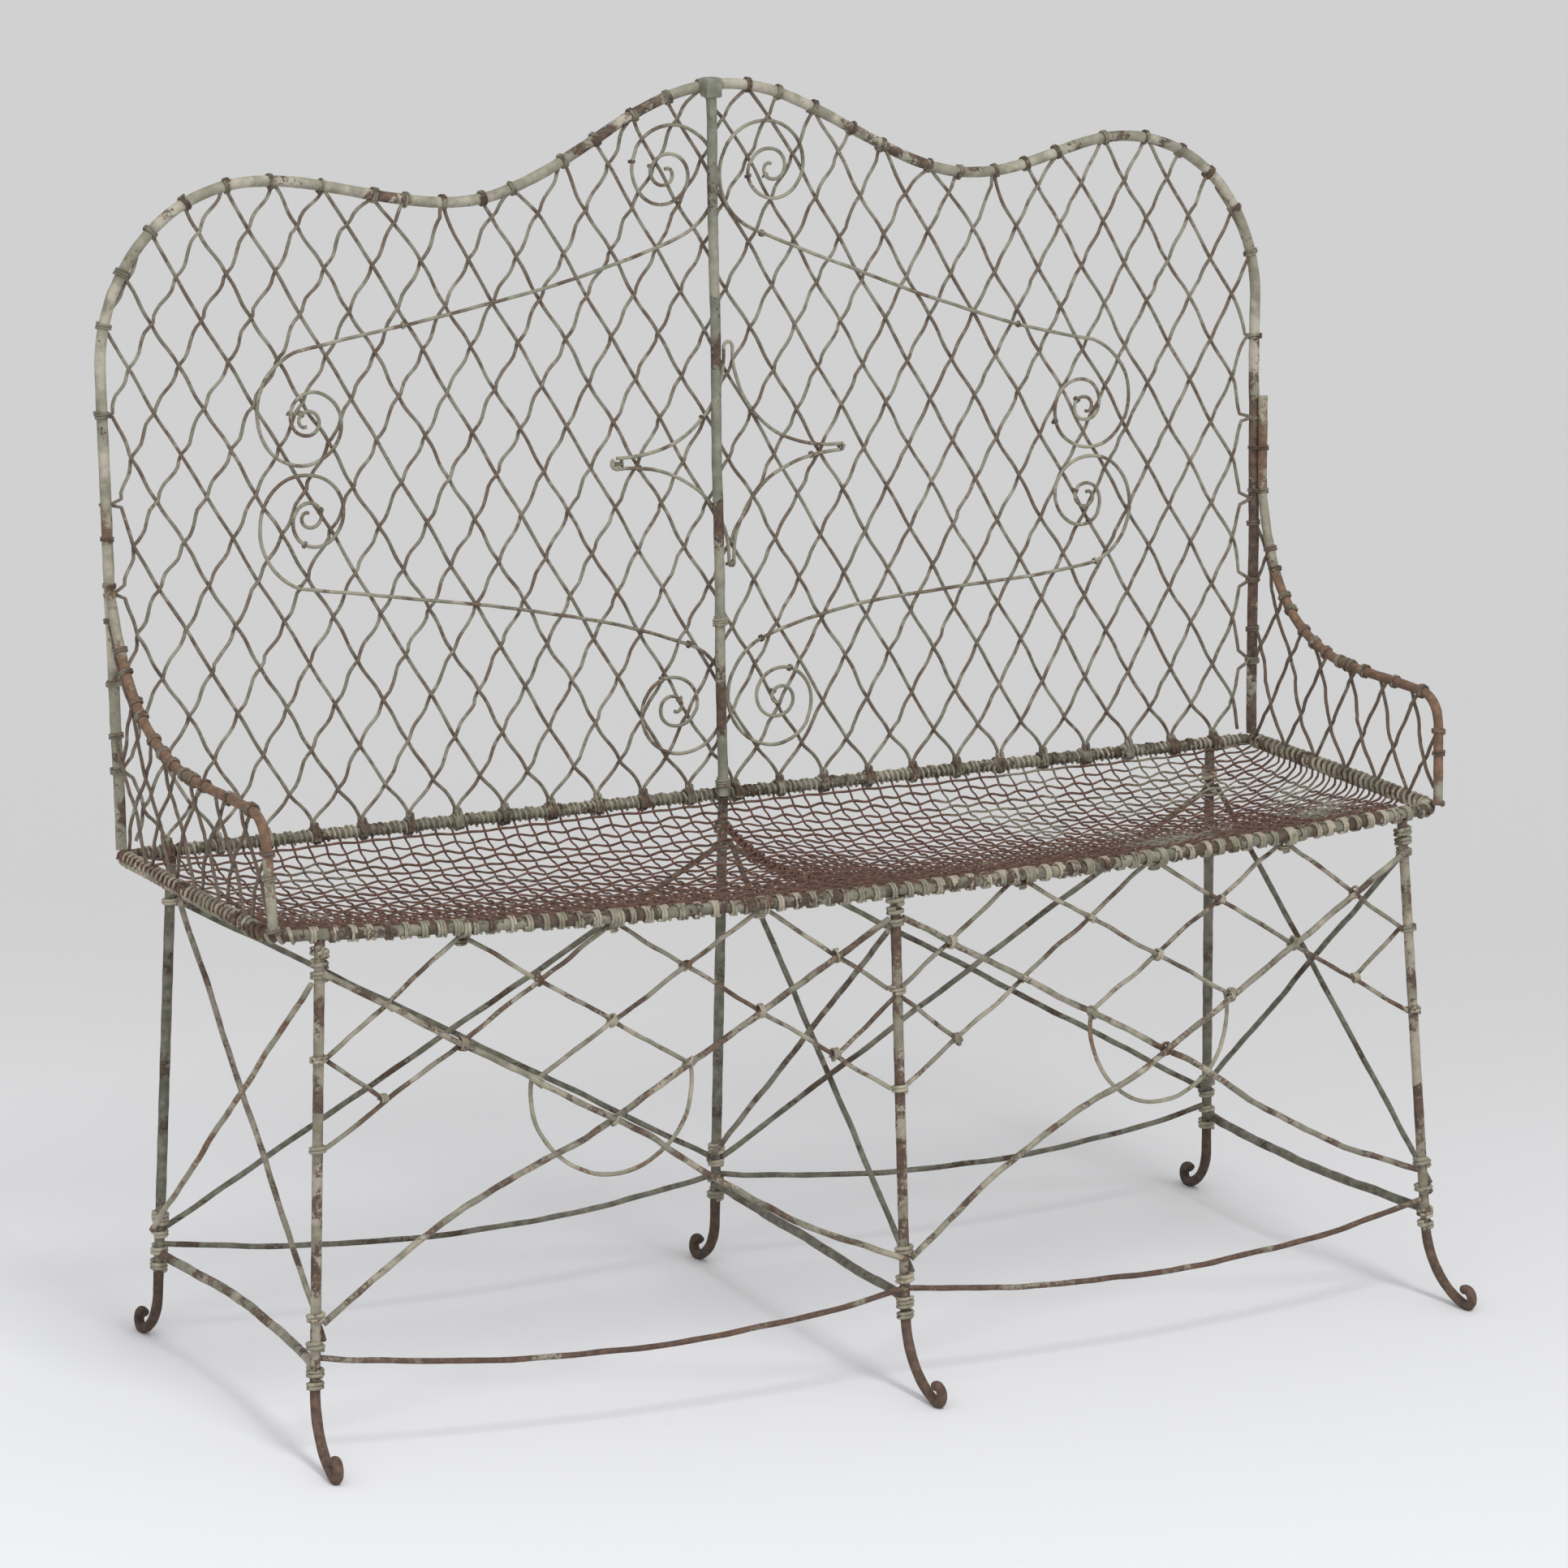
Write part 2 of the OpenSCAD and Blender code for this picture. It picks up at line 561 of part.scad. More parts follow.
// Legs start under the seat rods
function front_leg_dir(side) = unit([side * front_splay, -front_rake, -1]);
function rear_leg_dir(side) = unit([side * rear_splay, 0, -1]);
function front_leg_top(x) = front_rod(x) + [0, 0, -under_rod];
left_front_top = front_leg_top(-front_leg_x);
mid_front_leg_top = front_leg_top(-mid_leg_shift);
right_front_top = front_leg_top(front_leg_x);
left_rear_top = [-rear_leg_x, back_y, seat_h - under_rod];
right_rear_top = [rear_leg_x, back_y, seat_h - under_rod];
function front_leg_axis(side, h) =
    side == 0 ? leg_at(mid_front_leg_top, front_leg_dir(0), h)
    : leg_at(side < 0 ? left_front_top : right_front_top, front_leg_dir(side), h);
function rear_leg_axis(side, h) =
    side == 0 ? [post_foot.x, post_foot.y, h]
    : leg_at(side < 0 ? left_rear_top : right_rear_top, rear_leg_dir(side), h);

foot_turnout = 0.1;
module front_leg(side, top) {
    leg(top, front_leg_dir(side), forward + [side * foot_turnout, 0, 0], front_kick_r);
}
module front_left_leg() { color(paint) front_leg(-1, left_front_top); }
module front_centre_leg() { color(paint) front_leg(0, mid_front_leg_top); }
module front_right_leg() { color(paint) front_leg(1, right_front_top); }
module rear_left_leg() { color(green) leg(left_rear_top, rear_leg_dir(-1), -forward, rear_kick_r); }
module rear_right_leg() { color(green) leg(right_rear_top, rear_leg_dir(1), -forward, rear_kick_r); }

// Stays. A brace runs between two legs and lies against one side of each of them.
stay_top_h = seat_h - stay_top_drop;
beside_leg = leg_d / 2 + stay_d / 2 + clearance;
module side_stay(side, to_front) {
    // The two stays of a pair pass each other on either side of the legs
    shift = [(to_front ? 1 : -1) * beside_leg, 0, 0];
    rear_h = to_front ? stay_top_h : stay_low_h;
    front_h = to_front ? stay_low_h : stay_top_h;
    bar(rear_leg_axis(side, rear_h) + shift, front_leg_axis(side, front_h) + shift, stay_d);
}
module left_side_stay_to_front_foot() { color(paint) side_stay(-1, true); }
module left_side_stay_to_rear_foot() { color(rust) side_stay(-1, false); }
module centre_stay_to_front_foot() { color(rust) side_stay(0, true); }
module centre_stay_to_rear_foot() { color(rust) side_stay(0, false); }
module right_side_stay_to_front_foot() { color(green) side_stay(1, true); }
module right_side_stay_to_rear_foot() { color(green) side_stay(1, false); }

// Rear bays: rising goes up to the right
module rear_bay_stay(side, rising) {
    left = side < 0 ? -1 : 0;
    right = side < 0 ? 0 : 1;
    out = [0, (rising ? -1 : 1) * (stay_d / 2 + 1.2 * clearance), 0];
    inset = (leg_d + stay_d) / 2 + 2 * clearance;
    a = rear_leg_axis(left, rising ? stay_low_h : stay_top_h);
    b = rear_leg_axis(right, rising ? stay_top_h : stay_low_h);
    bar(a + inset * unit(b - a) + out, b - inset * unit(b - a) + out, stay_d);
}
module rear_left_bay_stay_rising() { color(green) rear_bay_stay(-1, true); }
module rear_left_bay_stay_falling() { color(green) rear_bay_stay(-1, false); }
module rear_right_bay_stay_rising() { color(green) rear_bay_stay(1, true); }
module rear_right_bay_stay_falling() { color(green) rear_bay_stay(1, false); }

// Stretchers between front and rear feet, and along the front and the rear
module cross_stretcher(side) {
    a = rear_leg_axis(side, cross_h);
    b = front_leg_axis(side, cross_h);
    inset = leg_d / 2 + clearance;
    from = a + inset * unit(b - a);
    to = b - inset * unit(b - a);
    if (side == 0) bar(from, to, cross_d);
    else bowed_bar(from, to, cross_bow, [-side, 0, 0], cross_d);
}
module left_cross_stretcher() { color(paint) cross_stretcher(-1); }
module centre_cross_stretcher() { color(green) cross_stretcher(0); }
module right_cross_stretcher() { color(green) cross_stretcher(1); }

long_h = cross_h + cross_d / 2 + stay_d;
module long_stretcher(a, b) {
    inset = leg_d / 2 + clearance;
    bowed_bar(a + inset * unit(b - a), b - inset * unit(b - a), long_sag, [0, -0.7, -0.7], stay_d);
}
function front_at(side) = front_leg_axis(side, long_h);
function rear_at(side) = rear_leg_axis(side, long_h);
module front_left_stretcher() { color(rust) long_stretcher(front_at(-1), front_at(0)); }
module front_right_stretcher() { color(rust) long_stretcher(front_at(0), front_at(1)); }
module rear_left_stretcher() { color(green) long_stretcher(rear_at(-1), rear_at(0)); }
module rear_right_stretcher() { color(green) long_stretcher(rear_at(0), rear_at(1)); }

// Apron: each half lies between two front legs. A point is given by its distance from the
// middle of its half towards the middle leg and by its height; out is away from the seat.
apron_half = front_leg_x / 2;
apron_top_h = seat_h - under_rod - 7;
// Heights at which apron wires end on the legs
middle_wire_h = 256;
outer_wire_h = 329;
inner_wire_h = 340;
// Heights of the two ends of the short wire from the outer leg to a knot
short_wire_h = 328;
short_knot_h = 291;
function apron_point(side, d, h, out) =
    lerp(front_leg_axis(side, h), front_leg_axis(0, h), 0.5 + d / (2 * apron_half))
    + out * forward;

module apron_bar(side, d0, h0, d1, h1, out, d) {
    bar(apron_point(side, d0, h0, out), apron_point(side, d1, h1, out), d);
}

edge = apron_half - leg_d / 2 - tie_d - 3 * clearance;
layer = apron_d + clearance;
// One long diagonal lies on the front of the legs, and the other behind it runs from leg to leg
diagonal_high_h = stay_top_h + 10;
diagonal_low_h = stay_low_h + 14;
diagonal_off = (leg_d + diagonal_d) / 2 + clearance;
diagonal_back = diagonal_off - diagonal_d - 4 * clearance;
// The knots sit on the rear diagonal, and the ring hangs from them
knot_row_h = lerp(diagonal_low_h, diagonal_high_h, 0.5 + tie_pitch / (4 * apron_half)) + 1.8;
ring_mid_h = knot_row_h - 15;
module apron_diagonals(side) {
    beside = leg_d / 2 + diagonal_d / 4 + clearance;
    apron_bar(side, -apron_half, diagonal_high_h, apron_half - diagonal_d / 2, diagonal_low_h,
        diagonal_off, diagonal_d);
    apron_bar(side, beside - apron_half, diagonal_low_h, apron_half - beside, diagonal_high_h,
        diagonal_back, diagonal_d);
}
module left_apron_diagonals() { color(paint) apron_diagonals(-1); }
module right_apron_diagonals() { color(paint) apron_diagonals(1); }

module apron_lattice(side) {
    near = 0.2;
    far = -layer;
    apart = apron_d / 2;
    apron_bar(side, 0, apron_top_h, -edge, middle_wire_h, near, apron_d);
    apron_bar(side, apart, apron_top_h, edge, middle_wire_h, far, apron_d);
    apron_bar(side, -tie_pitch, apron_top_h, tie_pitch / 2, knot_row_h, far, apron_d);
    apron_bar(side, tie_pitch, apron_top_h, -tie_pitch / 2, knot_row_h, near, apron_d);
    apron_bar(side, -tie_pitch - apart, apron_top_h, -edge, outer_wire_h, near, apron_d);
    apron_bar(side, tie_pitch + 2 * apart, apron_top_h, edge, inner_wire_h, far, apron_d);
    apron_bar(side, -edge, short_wire_h, -1.5 * tie_pitch, short_knot_h, far, apron_d);
}
module left_apron_lattice() { color(paint) apron_lattice(-1); }
module right_apron_lattice() { color(paint) apron_lattice(1); }

// How far past half a circle the ring runs at each end, in degrees
ring_open = 2;
module apron_ring(side) {
    mid = apron_point(side, 0, ring_mid_h, diagonal_back - (diagonal_d + apron_d) / 2 - clearance);
    side_dir = unit(apron_point(side, edge, ring_mid_h, 0) - apron_point(side, 0, ring_mid_h, 0));
    down_dir = unit(front_leg_dir(side) - (front_leg_dir(side) * side_dir) * side_dir);
    arc_rod(mid, -side_dir, down_dir, ring_r, -ring_open, 180 + 2 * ring_open, apron_d);
}
module left_apron_ring() { color(rust) apron_ring(-1); }
module right_apron_ring() { color(rust) apron_ring(1); }

// Ties of the lattice ends round the rim rod, and along the rear rod
function nearest(p, path, i = 0, best = 0) = i == len(path) ? best
    : nearest(p, path, i + 1, norm(path[i] - p) < norm(path[best] - p) ? i : best);
module rim_tie_at(x, v) {
    i = nearest([x, v], rim_outline);
    t = tangent(rim_outline, i);
    along = on_back(t.x, t.y, 0) - on_back(0, 0, 0);
    tie(on_back(x, v, 0), along, rod_d, lattice_d * 0.9);
}
// Each wire is tied at its upper end: the falling ones left of the hump, the others right of it
module back_rim_ties() {
    color(rust)
        for (way = [-1, 1], k = [-half_count:half_count]) {
            x0 = (k + 0.5) * cell_w;
            span = wire_span(x0, way * lattice_run, 0);
            v = len(span) == 2 ? span[1] : 0;
            x = x0 + way * lattice_run * v;
            beside_arm = v > arm_leave_h - cell_h / 3 && v < arm_start_h + tie_d;
            if (v > 0 && !beside_arm && abs(x - post_x) > clip_w
                && way * (x - hump_shift) > tie_d) rim_tie_at(x, v);
        }
}
rail_tie_count = (cells_across - 1) / 2 - 1;
module back_rail_ties() {
    color(green)
        for (k = [-rail_tie_count:rail_tie_count - 1])
            binding([(k + 0.5) * cell_w, back_y, seat_h], [1, 0, 0], rod_d, lattice_d, 2);
}
module arm_ties() {
    color(rust)
        for (side = [-1, 1]) {
            for (i = [5:2:len(arm_profile) - 4])
                tie(arm_point(side, arm_profile[i].x, arm_profile[i].y, 0),
                    [0, tangent(arm_profile, i).x, tangent(arm_profile, i).y], rod_d, lattice_d);
        }
}

// Bindings on the legs, where stays, stretchers and apron wires are tied
// Distances of the bindings from the seat, the stays and the stretchers
top_binding_drop = 24;
above_stay = 12;
above_front_stay = 25;
below_cross = 12;
module leg_bindings() {
    color(green) {
        for (side = [-1, 0, 1]) {
            front_dir = front_leg_dir(side);
            rear_dir = side == 0 ? down : rear_leg_dir(side);
            binding(front_leg_axis(side, seat_h - top_binding_drop), front_dir, leg_d, tie_d, 3);
            binding(front_leg_axis(side, cross_h - below_cross), front_dir, leg_d, tie_d, 3);
            binding(front_leg_axis(side, stay_low_h + above_front_stay), front_dir, leg_d, tie_d, 2);
            binding(rear_leg_axis(side, cross_h - below_cross), rear_dir, leg_d, tie_d, 2);
            binding(rear_leg_axis(side, stay_low_h + above_stay), rear_dir, leg_d, tie_d, 3);
            binding(rear_leg_axis(side, stay_top_h + above_stay), rear_dir, leg_d, tie_d, 3);
        }
        for (side = [-1, 1], h = [outer_wire_h, middle_wire_h])
            binding(front_leg_axis(side, h), front_leg_dir(side), leg_d, tie_d, 2);
        binding(front_leg_axis(0, middle_wire_h), front_leg_dir(0), leg_d, tie_d, 2);
    }
}

// Knots where the apron wires cross the long diagonals
module stay_knots() {
    // The outer knot holds two short wires, and the inner one a short wire and a diagonal
    color(rust) for (side = [-1, 1]) {
        tie(apron_point(side, -tie_pitch / 2, knot_row_h - 1, 0.2 - layer / 2), [1, 0, 0],
            2.3 * apron_d, 0.6 * tie_d);
        tie(apron_point(side, tie_pitch / 2, knot_row_h - 1, (diagonal_back - layer) / 2), [1, 0, 0],
            2 * (apron_d + diagonal_d / 2), 0.6 * tie_d);
    }
}

// Binding of the seat edge: turns of mesh wire round the seat rods
edge_pitch = 36;
module seat_edge_binding() {
    color(green) {
        for (k = [-rail_tie_count:rail_tie_count])
            tie([k * cell_w, back_y, seat_h], [1, 0, 0], rod_d, net_d);
        for (x = [-front_right.x + edge_pitch:edge_pitch:front_right.x - edge_pitch]) {
            a = asin(x / bow_r);
            tie(front_rod(x), [cos(a), 0, 0] - sin(a) * bow_dir, rod_d, net_d);
        }
        for (side = [-1, 1], y = [front_y + corner_r:edge_pitch:back_y - edge_pitch])
            tie([side * corner_x, y, seat_h], forward, rod_d, net_d);
    }
}

back_rim_rod();
centre_post();
rear_centre_leg();
post_top_clip();
back_lattice_rising_wires();
back_lattice_falling_wires();
upper_left_scroll();
upper_right_scroll();
lower_left_scroll();
lower_right_scroll();
centre_star();
left_arm_rod();
right_arm_rod();
left_arm_rising_wires();
left_arm_falling_wires();
right_arm_rising_wires();
right_arm_falling_wires();
seat_back_rail();
seat_front_rail();
seat_left_rail();
seat_right_rail();
seat_middle_bearer();
seat_mesh_long_wires();
seat_mesh_short_wires();
front_left_leg();
front_centre_leg();
front_right_leg();
rear_left_leg();
rear_right_leg();
left_side_stay_to_front_foot();
left_side_stay_to_rear_foot();
centre_stay_to_front_foot();
centre_stay_to_rear_foot();
right_side_stay_to_front_foot();
right_side_stay_to_rear_foot();
rear_left_bay_stay_rising();
rear_left_bay_stay_falling();
rear_right_bay_stay_rising();
rear_right_bay_stay_falling();
left_cross_stretcher();
centre_cross_stretcher();
right_cross_stretcher();
front_left_stretcher();
front_right_stretcher();
rear_left_stretcher();
rear_right_stretcher();
left_apron_diagonals();
right_apron_diagonals();
left_apron_lattice();
right_apron_lattice();
left_apron_ring();
right_apron_ring();
back_rim_ties();
back_rail_ties();
arm_ties();
leg_bindings();
stay_knots();
seat_edge_binding();
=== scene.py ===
"""Dressed model of a Victorian wirework garden settee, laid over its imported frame.

Lengths inside the classes are in millimetres, as in the part's source, and become metres
only when a mesh is made. X runs along the seat, Y to the back and Z up from the ground.
"""

import logging
import math
import random
from dataclasses import dataclass, field
from enum import Enum
from typing import Callable, Sequence

import bpy
import numpy as np
from mathutils import Matrix, Vector


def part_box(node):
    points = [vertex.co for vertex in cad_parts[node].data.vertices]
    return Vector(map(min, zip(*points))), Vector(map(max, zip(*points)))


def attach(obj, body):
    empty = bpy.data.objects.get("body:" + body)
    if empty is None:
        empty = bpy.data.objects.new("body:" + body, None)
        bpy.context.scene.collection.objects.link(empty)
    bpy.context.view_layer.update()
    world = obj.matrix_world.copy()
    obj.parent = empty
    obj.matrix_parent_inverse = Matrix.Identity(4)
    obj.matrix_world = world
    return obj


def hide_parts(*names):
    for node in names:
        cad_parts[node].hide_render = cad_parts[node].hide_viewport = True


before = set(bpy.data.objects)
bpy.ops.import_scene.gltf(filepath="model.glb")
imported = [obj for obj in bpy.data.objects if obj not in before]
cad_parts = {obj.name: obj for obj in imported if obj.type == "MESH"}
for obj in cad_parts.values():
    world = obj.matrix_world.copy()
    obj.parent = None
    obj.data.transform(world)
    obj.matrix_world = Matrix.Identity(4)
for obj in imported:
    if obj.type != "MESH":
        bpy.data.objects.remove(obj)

log = logging.getLogger("settee")

MM = 0.001
UP = Vector((0, 0, 1))
DOWN = Vector((0, 0, -1))
FORWARD = Vector((0, -1, 0))
ACROSS = Vector((1, 0, 0))

# Length at each end over which a crooked rod comes back to its true line
TRUE_END = 25.0
# Length of the longest swelling of a rod or wire
SWELL = 34.0
# Angle in degrees above which an edge stays sharp
CREASE = 50.0

Path = list[Vector]
Pair = tuple[float, float]
Pairs = tuple[Pair, ...]
Share = Callable[[np.ndarray], np.ndarray]
Socket = bpy.types.NodeSocket


class Side(Enum):
    """Which end of the bench a piece belongs to, seen from the front."""

    LEFT = -1
    CENTRE = 0
    RIGHT = 1


class Weave(Enum):
    """Which way a lattice wire leans as it goes up."""

    RISING = 1
    FALLING = -1


# Small sums on points and curves


def linear(value: float) -> float:
    """Turns one sRGB channel from 0 to 1 into its linear value."""
    return value / 12.92 if value <= 0.04045 else ((value + 0.055) / 1.055) ** 2.4


def colour(text: str) -> tuple[float, float, float, float]:
    """Turns an sRGB hex colour into linear RGBA.

    Args:
        text: Six hex digits after a hash sign.

    Returns:
        The linear colour with full alpha.
    """
    return tuple(linear(int(text[i : i + 2], 16) / 255) for i in (1, 3, 5)) + (1.0,)


def bezier(p0: Vector, p1: Vector, p2: Vector, p3: Vector, t: float) -> Vector:
    """Returns a point of a cubic curve at t."""
    return (1 - t) ** 3 * p0 + 3 * t * (1 - t) ** 2 * p1 + 3 * t * t * (1 - t) * p2 + t**3 * p3


def even(first: float, last: float, count: int) -> list[float]:
    """Returns count evenly spaced values from first to last."""
    return [first + (last - first) * n / (count - 1) for n in range(count)]


def rad(degrees: float) -> float:
    """Short form for an angle in radians."""
    return math.radians(degrees)


def square_to(way: Vector) -> Vector:
    """Returns a level direction square to another, or a fixed one for an upright rod."""
    return way.cross(UP if abs(way.z) < 0.9 else ACROSS).normalized()


def length_of(path: Path) -> float:
    """Returns the length of a path."""
    return sum((b - a).length for a, b in zip(path, path[1:]))


def spaced(path: Path, step: float) -> Path:
    """Lays points along a path at an even distance.

    Args:
        path: The points of the path.
        step: Distance between two new points.

    Returns:
        New points from the path's start to its end.
    """
    lengths = [0.0]
    for a, b in zip(path, path[1:]):
        lengths.append(lengths[-1] + (b - a).length)
    count = max(2, round(lengths[-1] / step))
    made, i = [], 0
    for n in range(count + 1):
        at = lengths[-1] * n / count
        while i < len(path) - 2 and lengths[i + 1] < at:
            i += 1
        span = lengths[i + 1] - lengths[i]
        made.append(path[i].lerp(path[i + 1], (at - lengths[i]) / span if span else 0.0))
    return made


class Drift:
    """A smooth wandering value along a length, from three seeded waves."""

    def __init__(self, seed: int, wave: float) -> None:
        """Draws the waves.

        Args:
            seed: Seed of the waves, so that each run gives the same ones.
            wave: Length of the longest wave.
        """
        dice = random.Random(seed)
        self.waves = [
            (2 * math.pi * k / wave * dice.uniform(0.8, 1.2), dice.uniform(0, 6.28), 1 / k)
            for k in (1.0, 2.3, 4.1)
        ]

    def __call__(self, at: float) -> float:
        """Returns the value, mostly between -1 and 1, at a length."""
        return sum(a * math.sin(w * at + p) for w, p, a in self.waves) / 1.4


def crooked(path: Path, amount: float, wave: float, seed: int) -> Path:
    """Bends a path a little to and fro, as hand-worked iron is bent.

    Args:
        path: The points of the path, evenly spaced.
        amount: Largest offset.
        wave: Length of the longest wave.
        seed: Seed of the waves.

    Returns:
        The bent path, with its two ends where they were.
    """
    if amount == 0 or len(path) < 3:
        return path
    one, two = Drift(seed, wave), Drift(seed + 977, wave)
    made, at = [], 0.0
    total = length_of(path)
    for i, p in enumerate(path):
        if i:
            at += (p - path[i - 1]).length
        t = (path[min(i + 1, len(path) - 1)] - path[max(i - 1, 0)]).normalized()
        side = square_to(t)
        ease = min(1.0, at / TRUE_END, (total - at) / TRUE_END)
        made.append(p + amount * ease * (one(at) * side + two(at) * t.cross(side)))
    return made


def winding(path: Path, core: float, wire: float, turns: float, start: float = 0.0,
            loose: float = 0.05, seed: int = 1, steps: int = 10) -> Path:
    """Winds a wire round a path in a helix from its start to its end.

    Args:
        path: The points of the line that is wound round.
        core: Diameter of what is wound round.
        wire: Diameter of the winding wire.
        turns: How many turns are laid between the two ends.
        start: Angle of the first point in degrees.
        loose: How uneven the turns are, as a share of the radius.
        seed: Seed of the unevenness.
        steps: Points in each turn.

    Returns:
        The points of the winding wire.
    """
    count = max(4, round(turns * steps))
    line = spaced(path, max(0.2, length_of(path) / count))
    wander = Drift(seed, 40)
    side = None
    made = []
    for n in range(count + 1):
        i = min(len(line) - 1, round(n * (len(line) - 1) / count))
        t = (line[min(i + 1, len(line) - 1)] - line[max(i - 1, 0)]).normalized()
        if side is None:
            side = square_to(t)
        side = (side - side.dot(t) * t).normalized()
        other = t.cross(side)
        a = rad(start) + 2 * math.pi * turns * n / count
        r = (core + wire) / 2 * (1 + loose * wander(n * 7.0))
        made.append(line[i] + r * (math.cos(a) * side + math.sin(a) * other))
    return made


def collar(centre: Vector, along: Vector, core: float, wire: float, turns: float,
           seed: int = 1, start: float = 0.0) -> Path:
    """Winds a few tight turns round a rod at a point.

    Args:
        centre: Middle of the turns.
        along: Direction of the rod.
        core: Diameter of the rod.
        wire: Diameter of the wire.
        turns: Number of turns.
        seed: Seed of the unevenness.
        start: Angle of the first point in degrees.

    Returns:
        The points of the wire.
    """
    t = along.normalized()
    half = t * (wire * 0.94 * turns / 2)
    return winding([centre - half, centre, centre + half], core, wire, turns, start=start,
                   loose=0.035, seed=seed)


def lashing(a: Vector, b: Vector, along: Vector, core: float, wire: float,
            turns: float) -> Path:
    """Winds a wire round two rods that lie side by side.

    Args:
        a: A point of the first rod.
        b: The point of the second rod beside it.
        along: Direction of the rods.
        core: Diameter of each rod.
        wire: Diameter of the wire.
        turns: Number of turns.

    Returns:
        The points of the wire.
    """
    t, u = along.normalized(), (b - a).normalized()
    side = t.cross(u)
    steps, start = 18, 0.3
    made, count = [], round(turns * steps)
    for n in range(count + 1):
        angle = 2 * math.pi * turns * n / count + start
        centre = b if math.cos(angle) > 0 else a
        climb = t * wire * 1.02 * (turns * n / count - turns / 2)
        made.append(centre + climb
                    + (core + wire) / 2 * (math.cos(angle) * u + math.sin(angle) * side))
    return made


# Making meshes


@dataclass
class Bundle:
    """Rods or wires that together make one piece of the bench.

    Each strand is a curve spline with a round bevel, thicker and thinner by a little along its
    length, and the whole bundle becomes one mesh.
    """

    name: str
    finish: "Weathered"
    nodes: tuple[str, ...] = ()
    sides: int = 12
    seed: int = 1
    strands: list[tuple[Path, list[float]]] = field(default_factory=list)

    def add(self, path: Path, wire: float, step: float = 0.0, bend: float = 0.0,
            wave: float = 120.0, rough: float = 0.03) -> "Bundle":
        """Adds one strand.

        Args:
            path: Its middle line.
            wire: Its diameter.
            step: Distance between its rings, or 0 to keep the points as given.
            bend: How crooked it is.
            wave: Length of its crooked waves.
            rough: How much its radius changes, as a share.

        Returns:
            The bundle.
        """
        self.seed += 1
        points = spaced(path, step) if step else list(path)
        points = crooked(points, bend, wave, self.seed * 31)
        swell = Drift(self.seed * 17 + 5, SWELL)
        at, radii = 0.0, []
        for i, p in enumerate(points):
            if i:
                at += (p - points[i - 1]).length
            radii.append(wire / 2 * (1 + rough * swell(at)))
        self.strands.append((points, radii))
        return self

    def wrap(self, centre: Vector, along: Vector, core: float, wire: float, turns: float,
             dice: random.Random, rough: float) -> None:
        """Adds a few tight turns round a rod, begun at any angle.

        Args:
            centre: Middle of the turns.
            along: Direction of the rod.
            core: Diameter of the rod.
            wire: Diameter of the wire.
            turns: Number of turns.
            dice: Draws their unevenness and their angle.
            rough: How much the wire's radius changes, as a share.
        """
        seed, start = dice.randrange(999), dice.uniform(0, 360)
        self.add(collar(centre, along, core, wire, turns, seed=seed, start=start), wire,
                 rough=rough)

    def build(self, flat_foot: bool = False,
              worn: Share | None = None) -> bpy.types.Object:
        """Makes the mesh, finishes it and puts it in the frame.

        Args:
            flat_foot: Cuts the piece off flat at the ground.
            worn: Gives each point, in metres, a share of bare metal from 0 to 1.

        Returns:
            The finished piece.
        """
        bpy.ops.object.select_all(action="DESELECT")
        bpy.ops.curve.primitive_nurbs_path_add(location=(0, 0, 0))
        obj = bpy.context.object
        curve = obj.data
        curve.splines.clear()
        curve.dimensions = "3D"
        curve.twist_mode = "MINIMUM"
        curve.bevel_depth = MM
        curve.bevel_resolution = max(0, (self.sides - 4) // 2)
        curve.use_fill_caps = True
        for points, radii in self.strands:
            spline = curve.splines.new("POLY")
            spline.points.add(len(points) - 1)
            flat = np.ones((len(points), 4))
            flat[:, :3] = np.array([p[:] for p in points]) * MM
            spline.points.foreach_set("co", flat.ravel())
            spline.points.foreach_set("radius", radii)
        bpy.ops.object.convert(target="MESH")
        obj = bpy.context.object
        obj.name = obj.data.name = self.name
        if flat_foot:
            bpy.ops.object.mode_set(mode="EDIT")
            bpy.ops.mesh.select_all(action="SELECT")
            bpy.ops.mesh.bisect(plane_co=(0, 0, 0), plane_no=(0, 0, 1), use_fill=True,
                                clear_inner=True, threshold=1e-6)
            bpy.ops.object.mode_set(mode="OBJECT")
        return settle(obj, self.finish, self.nodes, worn)


def settle(obj: bpy.types.Object, finish: "Weathered", nodes: Sequence[str],
           worn: Share | None = None) -> bpy.types.Object:
    """Args:
        obj: The new mesh object.
        finish: The finish that it takes.
        nodes: The CAD nodes that it stands for.
        worn: Gives each point, in metres, a share of bare metal from 0 to 1.

    Returns:
        The same object.
    """
    bpy.ops.object.select_all(action="DESELECT")
    obj.select_set(True)
    bpy.context.view_layer.objects.active = obj
    bpy.ops.object.mode_set(mode="EDIT")
    bpy.ops.mesh.select_all(action="SELECT")
    bpy.ops.mesh.normals_make_consistent(inside=False)
    bpy.ops.object.mode_set(mode="OBJECT")
    bpy.ops.object.transform_apply(location=True, rotation=True, scale=True)
    bpy.ops.object.shade_smooth_by_angle(angle=rad(CREASE))
    mesh = obj.data
    bare = mesh.attributes.new("bare", "FLOAT", "POINT")
    places = np.zeros(len(mesh.vertices) * 3)
    mesh.vertices.foreach_get("co", places)
    places = places.reshape(-1, 3)
    share = worn(places) if worn else np.zeros(len(places))
    bare.data.foreach_set("value", share.astype(np.float32))
    mesh.materials.clear()
    mesh.materials.append(finish.material())
    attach(obj, "root")
    if nodes:
        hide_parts(*nodes)
    log.info("%-30s %7d faces, for %s", obj.name, len(mesh.polygons), ", ".join(nodes) or "-")
    return obj


# Finishes


